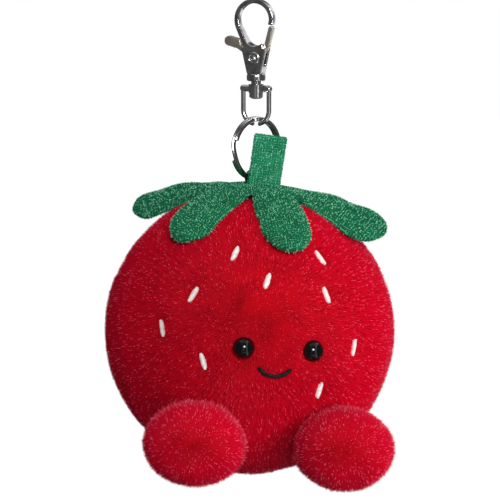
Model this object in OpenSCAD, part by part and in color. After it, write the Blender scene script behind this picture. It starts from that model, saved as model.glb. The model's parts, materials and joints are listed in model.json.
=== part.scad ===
// Plush strawberry keychain: a swivel clasp, a split ring and a stuffed toy.
// It hangs from the clasp. The origin is the top of the hook's eye, where a
// peg bears. +Z is up and the toy's face looks along -Y. All sizes in mm.

/* [Clasp hook] */
// Inner radius of the hook's crown
crown_r = 4.9; // [4:0.1:7]
// Inner radius at the foot of the eye
eye_foot_r = 3.4; // [2.6:0.1:5]
// Distance from the crown's centre down to the foot's centre
eye_drop = 4.8; // [4:0.1:8]
// Width of the hook's bar, across the eye
hook_bar = 1.5; // [1.1:0.1:2.4]
// Depth of the hook at its crown, front to back
crown_depth = 2.4; // [1.6:0.1:4]
// Depth of the body round the lever
body_depth = 4.8; // [4:0.1:7]
// Length of the body from the foot of the eye to the collar
body_len = 7.2; // [6.5:0.1:12]
// Width of the body where it meets the collar
body_tail_w = 4.5; // [3.8:0.1:7]
// Diameter of the collar
collar_d = 5.9; // [5:0.1:9]
// Height of the collar
collar_h = 2.2; // [1.4:0.1:4]
// Turn of the hook about the swivel axis
hook_yaw = -32; // [-180:1:180]

/* [Gate lever] */
// Depth of the slot the lever works in
slot_depth = 2.4; // [1.6:0.1:3]
// Width of the gate's bar
gate_bar = 1.5; // [1:0.1:2.2]
// Half height of the thumb tab
tab_r = 1.55; // [1.2:0.05:2]
// Reach of the thumb tab from the swivel axis
tab_reach = 8.6; // [7.5:0.1:11]
// Diameter of the rivet's shank
rivet_d = 1.8; // [1.4:0.1:2.4]
// Diameter of the rivet's heads
rivet_head_d = 3.9; // [3:0.1:4.4]
// Wire diameter of the gate spring
spring_wire = 0.35; // [0.25:0.05:0.45]

/* [Swivel and shackle] */
// Diameter of the swivel pin
pin_d = 2.2; // [1.6:0.1:3]
// Diameter of the swivel pin's head
pin_head_d = 4.3; // [3.6:0.1:5]
// Height of the swivel pin's head
pin_head_h = 1.7; // [1:0.1:3]
// Length of the pin's neck between collar and boss
neck_h = 1; // [0.6:0.1:2]
// Diameter of the shackle's boss
boss_d = 4.7; // [3.8:0.1:6]
// Height of the shackle's boss
boss_h = 2.6; // [2:0.1:4]
// Wire diameter of the shackle
shackle_wire = 1.5; // [1.1:0.1:2.2]
// Inside width of the shackle
shackle_w = 7.2; // [6.4:0.1:10]
// Straight length of the shackle's legs
leg_len = 6.7; // [5:0.1:10]
// Turn of the shackle about the swivel axis
shackle_yaw = -36; // [-180:1:180]

/* [Split ring] */
// Outside diameter of the ring
ring_d = 20; // [18:0.5:30]
// Radial width of one coil
coil_w = 1.5; // [1.1:0.1:2]
// Thickness of one coil
coil_t = 1.05; // [0.8:0.05:1.2]
// Turn of the ring's plane about the vertical
ring_yaw = 31; // [20:1:45]

/* [Loop and stem] */
// Width of the webbing loop
loop_w = 5; // [3:0.5:6]
// Thickness of the webbing
loop_t = 0.7; // [0.4:0.1:1]
// Width of the stem
stem_w = 10; // [6:0.5:14]
// Height of the stem
stem_h = 14.6; // [10:0.2:18]
// Thickness of one layer of the folded stem
stem_t = 0.9; // [0.6:0.1:1.2]
// Lean of the stem to its own right
stem_lean = 3; // [0:1:10]

/* [Calyx] */
// Reach of a leaf from the middle of the calyx
leaf_reach = 39; // [30:0.5:44]
// Width of a leaf
leaf_w = 15.5; // [10:0.5:20]
// Radius of the dome the leaves follow
calyx_dome_r = 65; // [55:1:90]
// Thickness of one layer of the calyx
calyx_t = 0.9; // [0.6:0.1:1.4]
// Number of leaves
leaf_count = 6; // [4:1:8]
// Turn of the first leaf from the front
leaf_turn = 5; // [-30:1:30]

/* [Body] */
// Radius of the body
body_r = 43.8; // [38:0.2:54]
// Thickness of the plush skin
skin_t = 1.6; // [1:0.1:3]
// Radius of the base panel
base_r = 16; // [10:1:22]
// Half width of the front panel, in degrees round the body
front_span = 78; // [60:1:90]
// Lean of the hanging toy, clockwise from the front
toy_lean = 4.5; // [0:0.5:10]
// Radius of the bag of pellets
bag_r = 13; // [9:0.5:15]
// Radius of one pellet
pellet_r = 1.9; // [1.5:0.1:2.4]

/* [Face and seeds] */
// Diameter of the eye beads
eye_d = 6.6; // [5:0.2:9]
// Turn of each eye from the middle of the face
eye_turn = 14; // [9:0.5:20]
// Height of the eyes above the body's centre
eye_z = 1; // [-5:0.5:8]
// Half the arc of the smile
smile_half = 56; // [30:2:75]
// Radius of the smile
smile_r = 6; // [4:0.2:9]
// Thickness of the smile's thread
smile_t = 1; // [0.6:0.1:1.6]
// Length of a seed
seed_len = 5.4; // [3:0.2:8]
// Width of a seed
seed_w = 2.1; // [1.2:0.1:3]
// Thickness of a seed's stitches
seed_t = 0.6; // [0.4:0.1:1]

/* [Feet] */
// Width of a foot
foot_w = 30; // [24:0.5:36]
// Depth of a foot, front to back
foot_depth = 27; // [20:0.5:32]
// Height of a foot
foot_h = 24; // [20:0.5:32]
// Height of the feet above the body's lowest point
foot_rise = 3.1; // [0:0.1:6]
// Distance of each foot from the toy's middle
foot_x = 23; // [17:0.5:26]
// Distance of the feet in front of the body's axis
foot_y = 41; // [38:0.5:48]
// Turn of each foot outwards
foot_yaw = 10; // [0:1:30]

/* [Fits] */
// Gap between a pin and its bore
running_gap = 0.05; // [0.03:0.01:0.1]
// Gap between pieces that move past each other
move_gap = 0.15; // [0.1:0.05:0.3]
// Gap between soft pieces that lie on each other
cloth_gap = 0.05; // [0.02:0.01:0.1]

/* [Hidden] */
$fn = 72;

// Clasp, in the hook's own plane: x across, y up
crown_c = [-0.4, -crown_r];
foot_c = crown_c + [0.6, -eye_drop];
foot_out_r = eye_foot_r + hook_bar;
eye_foot_z = foot_c[1] - foot_out_r;
tail_z = eye_foot_z - body_len;
rivet_z = eye_foot_z - 2.2;
hub_r = rivet_d / 2 + 0.8;
slot_floor_z = rivet_z - hub_r - 0.8;
body_half = foot_out_r - 0.7;
tip_z = crown_c[1] - 1.9;
gate_top = [crown_c[0] + crown_r + hook_bar / 2 - 0.2, tip_z - gate_bar / 2 - move_gap];
knuckle = [body_half - 0.6, eye_foot_z + 1.4];
lever_t = slot_depth - 2 * move_gap;
tab_c = [-tab_reach, eye_foot_z + 2.9];
tab_root = [-foot_out_r - 1.6, eye_foot_z + 2.3];
collar_foot_z = tail_z - collar_h;

// Swivel and shackle
boss_top_z = collar_foot_z - neck_h - running_gap;
boss_foot_z = boss_top_z - boss_h;
head_top_z = boss_foot_z - move_gap;
head_foot_z = head_top_z - pin_head_h;
leg_x = (shackle_w + shackle_wire) / 2;
bar_z = boss_top_z - boss_h / 2;
bow_z = bar_z - leg_len;
bow_wire_z = bow_z - leg_x;

// Split ring: its coils hang on the bow's wire and turn about it
ring_r = ring_d / 2 - coil_w / 2;
ring_z = bow_wire_z + shackle_wire / 2 + move_gap - (ring_r - coil_w / 2);
ring_steps = 136;
ring_jog_start = 320;
ring_turn_end = 680;

// The toy turns about the wire at the foot of the ring
toy_pivot_z = ring_z - ring_r;
loop_r = norm([coil_w / 2, coil_t]) + pow(loop_w / 2, 2) / (2 * ring_r) + 2 * move_gap;
body_top_z = -loop_r - loop_t - calyx_t;
axis_at = [1.2, -2.5];
body_c = [axis_at[0], axis_at[1], body_top_z - body_r];
inner_r = body_r - skin_t;
calyx_top_z = body_top_z + 2 * calyx_t + 2 * cloth_gap;
stem_y = -(loop_r + loop_t) - stem_t - 2.2;
tail_len = 9;
neck_half = leaf_w * 0.36;
leaf_steps = 12;
bag_c = body_c + [5, 8, -inner_r + bag_r + 5];
bag_t = 0.6;
pellet_step = 2 * pellet_r + 0.3;
shank_d = 2.4;
shank_len = 8;
washer_d = 9;
washer_t = 1.2;
eye_sink = 0.6;
smile_z = -0.9;
smile_turn = -1.3;
foot_cover_t = 1.5;
base_z = body_c[2] - body_r;

// Seeds as azimuth from the front, height above the body's centre, and tilt
front_seeds = [
    [-23, 28, 10], [24, 28, -20], [-6, 21, 15], [22, 17.5, -15], [-38, 15, 20],
    [-50, 3.5, -20], [35, 1.5, 10], [-30, -4.5, -20], [20, -11.5, 3]
];
// Rows of seeds round the back: height, first and last azimuth, and count
back_rows = [
    [28, 92, 246, 4], [16, 84, 252, 5], [2, 98, 240, 4], [-12, 86, 250, 5], [-26, 104, 236, 3]
];

// Two circles and the straight sides that touch both
module tangent_pair(r1, p1, r2, p2) {
    along = atan2(p2[1] - p1[1], p2[0] - p1[0]);
    spread = acos((r1 - r2) / norm(p2 - p1));
    translate(p1) circle(r1);
    translate(p2) circle(r2);
    polygon([
        p1 + r1 * [cos(along + spread), sin(along + spread)],
        p1 + r1 * [cos(along - spread), sin(along - spread)],
        p2 + r2 * [cos(along - spread), sin(along - spread)],
        p2 + r2 * [cos(along + spread), sin(along + spread)]
    ]);
}

// Stands a flat shape up in the XZ plane, with its depth along Y
module upright(depth) {
    rotate([90, 0, 0]) linear_extrude(depth, center = true) children();
}

module in_hook() { rotate([0, 0, hook_yaw]) children(); }
module in_shackle() { rotate([0, 0, shackle_yaw]) children(); }
module in_toy() { translate([0, 0, toy_pivot_z]) rotate([0, toy_lean, 0]) children(); }

// Places a piece on the body, its +Z outwards and its +Y up the body
module on_body(azimuth, height, r = body_r) {
    translate(body_c)
        rotate([90 - asin(height / body_r), 0, azimuth])
            translate([0, 0, r]) children();
}

module eye_outline(grow) {
    tangent_pair(crown_r + grow, crown_c, eye_foot_r + grow, foot_c);
}

module gate_gap() {
    polygon([
        [crown_c[0] + crown_r - 1.6, tip_z + 0.5], [crown_r + 4, tip_z - 0.3],
        [crown_r + 4, eye_foot_z + 0.6], [eye_foot_r - 0.4, eye_foot_z + 1],
        [eye_foot_r - 0.9, foot_c[1] - 2]
    ]);
}

// Front view of the whole casting: the eye's bar and the tapered body
module hook_outline() {
    difference() {
        union() {
            difference() {
                eye_outline(hook_bar);
                gate_gap();
            }
            polygon([
                [-body_half, eye_foot_z + 1.2], [body_half - 0.2, eye_foot_z + 0.6],
                [body_tail_w / 2, tail_z], [-body_tail_w / 2, tail_z]
            ]);
        }
        eye_outline(0);
    }
}

// Side view: slim at the crown and full depth round the lever
module hook_side() {
    rotate([90, 0, 90])
        linear_extrude(40, center = true)
            polygon([
                [-crown_depth / 2, hook_bar + 1], [crown_depth / 2, hook_bar + 1],
                [crown_depth / 2 + 0.1, crown_c[1]],
                [body_depth / 2, eye_foot_z + 1], [body_depth / 2, tail_z],
                [-body_depth / 2, tail_z], [-body_depth / 2, eye_foot_z + 1],
                [-crown_depth / 2 - 0.1, crown_c[1]]
            ]);
}

// Slot for the lever, right through the foot of the eye on the gate's side
module lever_slot() {
    reach = 15;
    eye_kept_to = -0.5;
    upright(slot_depth)
        difference() {
            translate([-reach, slot_floor_z]) square([2 * reach, tip_z - slot_floor_z]);
            intersection() {
                eye_outline(hook_bar);
                translate([eye_kept_to - reach, slot_floor_z]) square([reach, 2 * reach]);
            }
        }
}

module hook_body() {
    color("silver")
        in_hook() difference() {
            union() {
                intersection() {
                    upright(body_depth) hook_outline();
                    hook_side();
                }
                translate([0, 0, collar_foot_z])
                    rotate_extrude() {
                        square([collar_d / 2 - 0.5, collar_h]);
                        translate([0, 0.5]) square([collar_d / 2, collar_h - 1]);
                        for (z = [0.5, collar_h - 0.5])
                            translate([collar_d / 2 - 0.5, z]) circle(0.5);
                    }
            }
            lever_slot();
            translate([0, 0, rivet_z]) rotate([90, 0, 0])
                cylinder(h = 20, d = rivet_d, center = true);
            translate([0, 0, collar_foot_z - 1]) cylinder(h = collar_h + 0.4, d = pin_d);
        }
}

// A straight bar with round ends, whose sides start a little inside the rounds
module arm(r, from, to) {
    along = atan2(to[1] - from[1], to[0] - from[0]);
    side = 0.97 * r * [-sin(along), cos(along)];
    translate(from) circle(r);
    translate(to) circle(r);
    polygon([from + side, from - side, to - side, to + side]);
}

module gate_lever() {
    hub = [0, rivet_z];
    color("gray")
        in_hook() difference() {
            upright(lever_t) {
                arm(tab_r, tab_c, tab_root);
                arm(0.9, tab_root + [0.3, -0.5], hub);
                arm(0.9, hub, knuckle);
                arm(gate_bar / 2, knuckle + [0.05, 0.1], gate_top);
                translate(hub) circle(hub_r);
            }
            translate([0, 0, rivet_z]) rotate([90, 0, 0])
                cylinder(h = 20, r = rivet_d / 2 + running_gap, center = true);
            translate([0, lever_t / 2 + 1, rivet_z]) rotate([90, 0, 0])
                cylinder(h = 1 + 3.2 * spring_wire, r = hub_r + 0.3);
        }
}

// A rivet's head: a rolled rim round a small dome
module rivet_head() {
    rim = 0.9;
    dome_h = 0.55;
    dome_half = rivet_head_d / 4;
    dome_r = (pow(dome_half, 2) + pow(dome_h, 2)) / (2 * dome_h);
    cylinder(h = 0.2, d = rivet_head_d - rim);
    rotate_extrude() intersection() {
        union() {
            translate([(rivet_head_d - rim) / 2, 0]) circle(d = rim);
            translate([0, dome_h - dome_r]) circle(dome_r);
        }
        square([rivet_head_d, 1]);
    }
}

module gate_rivet() {
    color("lightgray")
        in_hook() translate([0, 0, rivet_z]) rotate([90, 0, 0]) {
            cylinder(h = body_depth, d = rivet_d, center = true);
            for (side = [0, 1]) mirror([0, 0, side])
                translate([0, 0, body_depth / 2]) rivet_head();
        }
}

// Closed tube of one section along a path, with each ring of points given
module tube(rings) {
    n = len(rings[0]);
    m = len(rings);
    polyhedron(
        points = [for (ring = rings) each ring],
        faces = [
            [for (i = [n - 1:-1:0]) i],
            for (k = [0:m - 2], i = [0:n - 1])
                [k * n + i, k * n + (i + 1) % n, (k + 1) * n + (i + 1) % n, (k + 1) * n + i],
            [for (i = [0:n - 1]) (m - 1) * n + i]
        ]
    );
}

module gate_spring() {
    turns = 2;
    coil_r = hub_r - 0.25;
    steps = 16 * turns;
    legs_from = 250;
    section = [for (i = [0:7]) spring_wire / 2 * [cos(45 * i), sin(45 * i)]];
    coil = [
        for (k = [0:steps]) let (a = legs_from + 360 * turns * k / steps)
            [for (p = section) [
                (coil_r + p[0]) * cos(a),
                -(k / steps - 0.5) * turns * (spring_wire + 0.08) + p[1],
                (coil_r + p[0]) * sin(a)
            ]]
    ];
    color("dimgray")
        in_hook()
            translate([0, lever_t / 2 - 1.35 * spring_wire, rivet_z])
                tube([for (k = [steps:-1:0]) coil[k]]);
}

module swivel_pin() {
    color("silver") {
        translate([0, 0, head_foot_z]) intersection() {
            cylinder(h = pin_head_h, d = pin_head_d);
            translate([0, 0, pin_head_d * 0.62]) sphere(pin_head_d * 0.7);
        }
        translate([0, 0, head_top_z - 0.2])
            cylinder(h = collar_foot_z - head_top_z + collar_h - 0.5, d = pin_d);
        translate([0, 0, collar_foot_z - neck_h]) cylinder(h = neck_h, d = pin_d + 0.9);
    }
}

module shackle() {
    color("silver")
        in_shackle() difference() {
            union() {
                translate([0, 0, boss_foot_z]) cylinder(h = boss_h, d = boss_d);
                for (side = [-1, 1]) {
                    translate([side * leg_x, 0, bow_z])
                        cylinder(h = leg_len, d = shackle_wire);
                    translate([side * leg_x, 0, bar_z]) sphere(d = shackle_wire + 0.6);
                }
                translate([0, 0, bar_z]) rotate([0, 90, 0])
                    cylinder(h = 2 * leg_x, d = shackle_wire + 0.6, center = true);
                translate([0, 0, bow_z]) rotate([90, 180, 0])
                    rotate_extrude(angle = 180)
                        translate([leg_x, 0]) circle(d = shackle_wire);
            }
            cylinder(h = 100, r = pin_d / 2 + running_gap, center = true);
        }
}

// One flat coil, a short crossing, and a second coil beside the first
function coil_shift(a) =
    a < ring_jog_start ? -coil_t / 2
    : a > 360 ? coil_t / 2
    : coil_t * (smooth_step((a - ring_jog_start) / (360 - ring_jog_start)) - 0.5);
function smooth_step(t) = t * t * (3 - 2 * t);

module split_ring() {
    bevel = 0.28;
    w = coil_w / 2;
    t = coil_t / 2 - 0.02;
    section = [
        [w, -t + bevel], [w, t - bevel], [w - bevel, t], [-w + bevel, t],
        [-w, t - bevel], [-w, -t + bevel], [-w + bevel, -t], [w - bevel, -t]
    ];
    start = 200;
    color("silver")
        translate([0, 0, ring_z]) rotate([0, 0, ring_yaw])
            tube([
                for (k = [0:ring_steps]) let (a = ring_turn_end * k / ring_steps)
                    [for (p = section) [
                        (ring_r + p[0]) * cos(a + start),
                        -coil_shift(a) - p[1],
                        (ring_r + p[0]) * sin(a + start)
                    ]]
            ]);
}

// Webbing doubled round the foot of the ring, its two tails going into the body
module webbing_loop() {
    color("seagreen")
        in_toy() rotate([0, -toy_lean, ring_yaw]) rotate([90, 0, 90])
            linear_extrude(loop_w, center = true)
                difference() {
                    union() {
                        circle(loop_r + loop_t);
                        translate([-loop_t, -tail_len]) square([2 * loop_t, tail_len - loop_r]);
                    }
                    circle(loop_r);
                }
}

// Room for the loop's tails where they pass through cloth and filling
module loop_pocket(gap) {
    rotate([0, -toy_lean, ring_yaw])
        translate([0, 0, -tail_len / 2 - gap / 2 - loop_r])
            cube([loop_w + 2 * gap, 2 * (loop_t + gap), tail_len + gap], center = true);
    rotate([0, -toy_lean, ring_yaw]) rotate([0, 90, 0])
        cylinder(h = loop_w + 2 * gap, r = loop_r + loop_t + gap, center = true);
}

module stem_layer(lean, h) {
    translate([axis_at[0] + 0.3, 0, calyx_top_z - 1])
        rotate([0, lean, 0])
            translate([-stem_w / 2, 0, 0]) cube([stem_w, stem_t, h + 1]);
}

// A strip folded over at the top, its back layer a little askew
module stem() {
    color("seagreen")
        in_toy() difference() {
            union() {
                translate([0, stem_y, 0]) stem_layer(stem_lean, stem_h);
                translate([0, stem_y + stem_t, 0]) stem_layer(stem_lean + 2, stem_h - 0.2);
            }
            dome(calyx_dome_r + cloth_gap);
        }
}

// Ball that the calyx follows, its top at the top of the calyx
module dome(r) {
    translate([axis_at[0], axis_at[1], calyx_top_z - calyx_dome_r]) sphere(r, $fn = 180);
}

// Half width of a leaf, from its neck at 0 to its round tip at 1
function leaf_half(u) =
    (neck_half + (leaf_w / 2 - neck_half) * sin(90 * min(1, u / 0.5)))
    * sqrt(max(0, 1 - pow(max(0, (u - 0.7) / 0.3), 2)));

// Flat outline of all the leaves, which join at their necks
module leaf_star() {
    neck_r = neck_half / tan(180 / leaf_count);
    side = [for (k = [0:leaf_steps]) let (u = sin(90 * k / leaf_steps))
        [leaf_half(u), -neck_r - u * (leaf_reach - neck_r)]];
    leaf = concat(
        [for (k = [0:leaf_steps - 1]) [-side[k][0], side[k][1]]],
        [for (k = [leaf_steps:-1:1]) side[k]]
    );
    polygon([
        for (i = [0:leaf_count - 1]) let (a = leaf_turn + i * 360 / leaf_count)
            for (p = leaf) [p[0] * cos(a) - p[1] * sin(a), p[0] * sin(a) + p[1] * cos(a)]
    ]);
}

// The top of a hollow dome, as far out as the leaves reach
module dome_shell(outer_r, inner_r) {
    translate([axis_at[0], axis_at[1], calyx_top_z - calyx_dome_r])
        rotate_extrude() intersection() {
            difference() {
                circle(outer_r, $fn = 180);
                circle(inner_r, $fn = 180);
            }
            square([leaf_reach + 2, calyx_dome_r + 10]);
        }
}

module calyx_layer(outer_r, inner_r) {
    in_toy() difference() {
        intersection() {
            dome_shell(outer_r, inner_r);
            translate([axis_at[0], axis_at[1], calyx_top_z - 30])
                linear_extrude(40) leaf_star();
        }
        loop_pocket(cloth_gap);
    }
}

module calyx_upper() {
    color("green") calyx_layer(calyx_dome_r, calyx_dome_r - calyx_t);
}

module calyx_lining() {
    color("darkgreen")
        calyx_layer(calyx_dome_r - calyx_t - cloth_gap, calyx_dome_r - 2 * calyx_t - cloth_gap);
}

// Half section of the skin, with or without the part that the base panel covers
module skin_section(base) {
    intersection() {
        difference() {
            circle(body_r, $fn = 180);
            circle(inner_r, $fn = 180);
        }
        if (base) translate([0, -2 * body_r]) square([base_r, 2 * body_r]);
        else difference() {
            translate([0, -2 * body_r]) square([2 * body_r, 4 * body_r]);
            translate([-1, -2 * body_r]) square([base_r + 1, 2 * body_r]);
        }
    }
}

module skin_panel(from, to) {
    in_toy() difference() {
        translate(body_c) rotate([0, 0, from - 90])
            rotate_extrude(angle = to - from) skin_section(false);
        loop_pocket(cloth_gap);
        eye_holes();
    }
}

module skin_front() { color("crimson") skin_panel(-front_span, front_span); }
module skin_back_left() { color("firebrick") skin_panel(180, 360 - front_span); }
module skin_back_right() { color("brown") skin_panel(front_span, 180); }
module skin_base() {
    color("maroon") in_toy() translate(body_c) rotate_extrude() skin_section(true);
}

module eye_holes() {
    for (side = [-1, 1]) on_body(side * eye_turn, eye_z, r = 0)
        cylinder(h = body_r + 5, d = shank_d);
}

module body_stuffing() {
    color("whitesmoke")
        in_toy() difference() {
            translate(body_c) sphere(inner_r - cloth_gap, $fn = 180);
            translate(bag_c) sphere(bag_r + cloth_gap);
            loop_pocket(2 * cloth_gap);
            for (side = [-1, 1]) on_body(side * eye_turn, eye_z, r = body_r - shank_len) {
                cylinder(h = shank_len, d = shank_d + 2 * cloth_gap);
                translate([0, 0, -cloth_gap])
                    cylinder(h = shank_len, d = washer_d + 2 * cloth_gap);
            }
        }
}

module pellet_bag() {
    color("tan")
        in_toy() translate(bag_c) difference() {
            sphere(bag_r);
            sphere(bag_r - bag_t);
        }
}

// Pellets on a close grid, as many as the bag holds
module pellets() {
    room = bag_r - bag_t - pellet_r - 0.1;
    n = ceil(room / pellet_step);
    color("ivory")
        in_toy() translate(bag_c)
            for (x = [-n:n], y = [-n:n], z = [-n:n])
                if (norm([x, y, z]) * pellet_step < room)
                    translate(pellet_step * [x, y, z]) sphere(pellet_r, $fn = 24);
}

// The back seam is closed by hand with a row of short stitches
module closing_stitches() {
    stitch_r = 0.3;
    color("darkred")
        in_toy() for (i = [0:7])
            on_body(180, -30 + 2.4 * i)
                translate([0, 0, stitch_r]) rotate([0, 90, 20])
                    cylinder(h = 3, r = stitch_r, center = true);
}

module eye(side) {
    bead_r = eye_d / 2;
    color("black")
        in_toy() on_body(side * eye_turn, eye_z) {
            intersection() {
                translate([0, 0, -bead_r + eye_sink + bead_r * 0.75]) sphere(bead_r);
                translate([-bead_r, -bead_r, cloth_gap]) cube(2 * bead_r);
            }
            translate([0, 0, -shank_len + cloth_gap]) cylinder(h = shank_len + 1, d = shank_d);
        }
}

module eye_washer(side) {
    color("white")
        in_toy() on_body(side * eye_turn, eye_z, r = body_r - skin_t - washer_t - 2)
            difference() {
                cylinder(h = washer_t, d = washer_d);
                cylinder(h = 10, d = shank_d, center = true);
            }
}

module eye_left() { eye(-1); }
module eye_right() { eye(1); }
module eye_washer_left() { eye_washer(-1); }
module eye_washer_right() { eye_washer(1); }

// A thread laid in an arc on the face, its ends rounded
module smile_embroidery() {
    thread_r = smile_t / 2;
    color("black")
        in_toy() on_body(smile_turn, smile_z)
            translate([0, 0, thread_r + cloth_gap]) {
                rotate([0, 0, -90 - smile_half])
                    rotate_extrude(angle = 2 * smile_half)
                        translate([smile_r, 0]) circle(thread_r);
                for (side = [-1, 1]) rotate([0, 0, -90 + side * smile_half])
                    translate([smile_r, 0, 0]) sphere(thread_r);
            }
}

module seed(azimuth, height, tilt) {
    on_body(azimuth, height) rotate([0, 0, -tilt])
        translate([0, 0, cloth_gap]) linear_extrude(seed_t) {
            square([seed_w, seed_len - seed_w], center = true);
            for (side = [-1, 1]) translate([0, side * (seed_len - seed_w) / 2])
                circle(d = seed_w);
        }
}

module seed_embroidery() {
    color("white")
        in_toy() {
            for (s = front_seeds) seed(s[0], s[1], s[2]);
            for (row = back_rows, i = [0:row[3] - 1])
                seed(row[1] + i * (row[2] - row[1]) / (row[3] - 1), row[0], 12 * sin(97 * i));
        }
}

module foot_ball(side, shrink) {
    translate([body_c[0] + side * foot_x, body_c[1] - foot_y, base_z + foot_rise + foot_h / 2])
        rotate([0, 0, side * foot_yaw])
            scale([foot_w / 2 - shrink, foot_depth / 2 - shrink, foot_h / 2 - shrink]) sphere(1);
}

// The space in front of a foot's edge seam, or behind it
module foot_half(side, front) {
    translate([body_c[0] + side * foot_x, body_c[1] - foot_y, base_z + foot_rise + foot_h / 2])
        rotate([0, 0, side * foot_yaw])
            translate([-50, front ? -100 : 0, -50]) cube(100);
}

module foot_cover(side, front) {
    in_toy() intersection() {
        difference() {
            foot_ball(side, 0);
            foot_ball(side, foot_cover_t);
            translate(body_c) sphere(body_r + cloth_gap, $fn = 180);
        }
        foot_half(side, front);
    }
}

module foot_stuffing(side) {
    in_toy() difference() {
        foot_ball(side, foot_cover_t + cloth_gap);
        translate(body_c) sphere(body_r + cloth_gap, $fn = 180);
    }
}

module foot_sole_left() { color("red") foot_cover(-1, true); }
module foot_upper_left() { color("darkred") foot_cover(-1, false); }
module foot_stuffing_left() { color("whitesmoke") foot_stuffing(-1); }
module foot_sole_right() { color("red") foot_cover(1, true); }
module foot_upper_right() { color("darkred") foot_cover(1, false); }
module foot_stuffing_right() { color("whitesmoke") foot_stuffing(1); }

hook_body();
gate_lever();
gate_rivet();
gate_spring();
swivel_pin();
shackle();
split_ring();
webbing_loop();
stem();
calyx_upper();
calyx_lining();
skin_front();
skin_back_left();
skin_back_right();
skin_base();
body_stuffing();
pellet_bag();
pellets();
closing_stitches();
eye_left();
eye_right();
eye_washer_left();
eye_washer_right();
smile_embroidery();
seed_embroidery();
foot_sole_left();
foot_upper_left();
foot_stuffing_left();
foot_sole_right();
foot_upper_right();
foot_stuffing_right();
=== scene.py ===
"""Looks of the plush strawberry keychain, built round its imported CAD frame."""
import json
import math

import bmesh
import bpy
import numpy as np
from mathutils import Matrix, Vector, noise
from mathutils.bvhtree import BVHTree


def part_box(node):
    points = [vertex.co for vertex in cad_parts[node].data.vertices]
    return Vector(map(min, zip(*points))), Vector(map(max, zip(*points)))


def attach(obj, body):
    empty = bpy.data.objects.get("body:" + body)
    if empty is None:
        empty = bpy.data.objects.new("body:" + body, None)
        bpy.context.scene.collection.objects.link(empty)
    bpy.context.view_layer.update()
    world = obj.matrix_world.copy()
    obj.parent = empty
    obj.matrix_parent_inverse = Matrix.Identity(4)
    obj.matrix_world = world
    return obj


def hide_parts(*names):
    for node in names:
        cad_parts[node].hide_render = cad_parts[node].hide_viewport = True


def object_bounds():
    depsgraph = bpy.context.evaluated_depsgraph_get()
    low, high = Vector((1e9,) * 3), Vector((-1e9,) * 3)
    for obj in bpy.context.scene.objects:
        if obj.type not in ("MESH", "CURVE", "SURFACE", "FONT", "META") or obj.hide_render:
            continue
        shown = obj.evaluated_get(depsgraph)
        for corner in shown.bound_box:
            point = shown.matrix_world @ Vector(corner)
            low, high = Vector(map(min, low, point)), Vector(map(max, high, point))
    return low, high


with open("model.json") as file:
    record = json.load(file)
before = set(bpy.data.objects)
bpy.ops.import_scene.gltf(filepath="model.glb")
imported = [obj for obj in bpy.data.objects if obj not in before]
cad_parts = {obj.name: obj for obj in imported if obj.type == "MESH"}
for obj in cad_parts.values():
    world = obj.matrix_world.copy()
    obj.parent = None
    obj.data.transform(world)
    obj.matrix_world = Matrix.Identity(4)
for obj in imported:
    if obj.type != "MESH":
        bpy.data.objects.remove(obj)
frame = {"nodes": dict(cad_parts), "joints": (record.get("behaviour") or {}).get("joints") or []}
cad_low, cad_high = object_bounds()

MM = 0.001
BAKE_MAP = "OFBake"

# Sizes of the toy's design, in metres and degrees, as its CAD source has them
TOY_LEAN = 4.5
EYE_TURN = 14
EYE_HEIGHT = 1 * MM
SMILE_HEIGHT = -0.9 * MM
SMILE_TURN = -1.3
SMILE_RADIUS = 6 * MM
SMILE_HALF_ARC = 56
FRONT_SPAN = 78
BASE_RADIUS = 16 * MM
LEAF_COUNT = 6
LEAF_TURN = 5
LEAF_REACH = 39 * MM
LEAF_WIDTH = 15.5 * MM
LEAF_NECK = LEAF_WIDTH * 0.36
DOME_RADIUS = 65 * MM
CALYX_RISE = 1.9 * MM
STEM_WIDTH = 10 * MM
RING_YAW = 31
FOOT_TURN = 10
FOOT_DEPTH = 13.5 * MM
TAPE_WIDTH = 5 * MM
TAPE_THICKNESS = 0.7 * MM

# Sizes of the soft goods
CLOTH_FULLNESS = 0.2 * MM
PILE_LENGTH = 1.9 * MM
FOOT_PILE_LENGTH = 2.4 * MM
LEAF_THICKNESS = 1.9 * MM
STEM_THICKNESS = 0.85 * MM
KNIT_PITCH = 0.8 * MM
SEAM_WIDTH = 1.1 * MM
SEED_THREADS = 13
STITCH_SIDES = 5
CORD_SIDES = 7

# The camera: its angles in degrees, and its lens and sensor in millimetres
CAMERA_AZIMUTH = -11.5
CAMERA_ELEVATION = 8
CAMERA_DISTANCE = 0.868
CAMERA_LENS = 200
CAMERA_SENSOR = 36
VIEW_BELOW_TOP = 78.4 * MM
VIEW_TO_LEFT = 1.9 * MM
FLOOR_HEIGHT = -0.62
FLOOR_REACH = 6


def screen_colour(red, green, blue):
    """Linear colour from one given as 0 to 255 on a screen."""
    return tuple(
        c / 12.92 if c <= 0.04045 else ((c + 0.055) / 1.055) ** 2.4
        for c in (red / 255, green / 255, blue / 255)
    )


# ---------------------------------------------------------------- node trees


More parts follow.
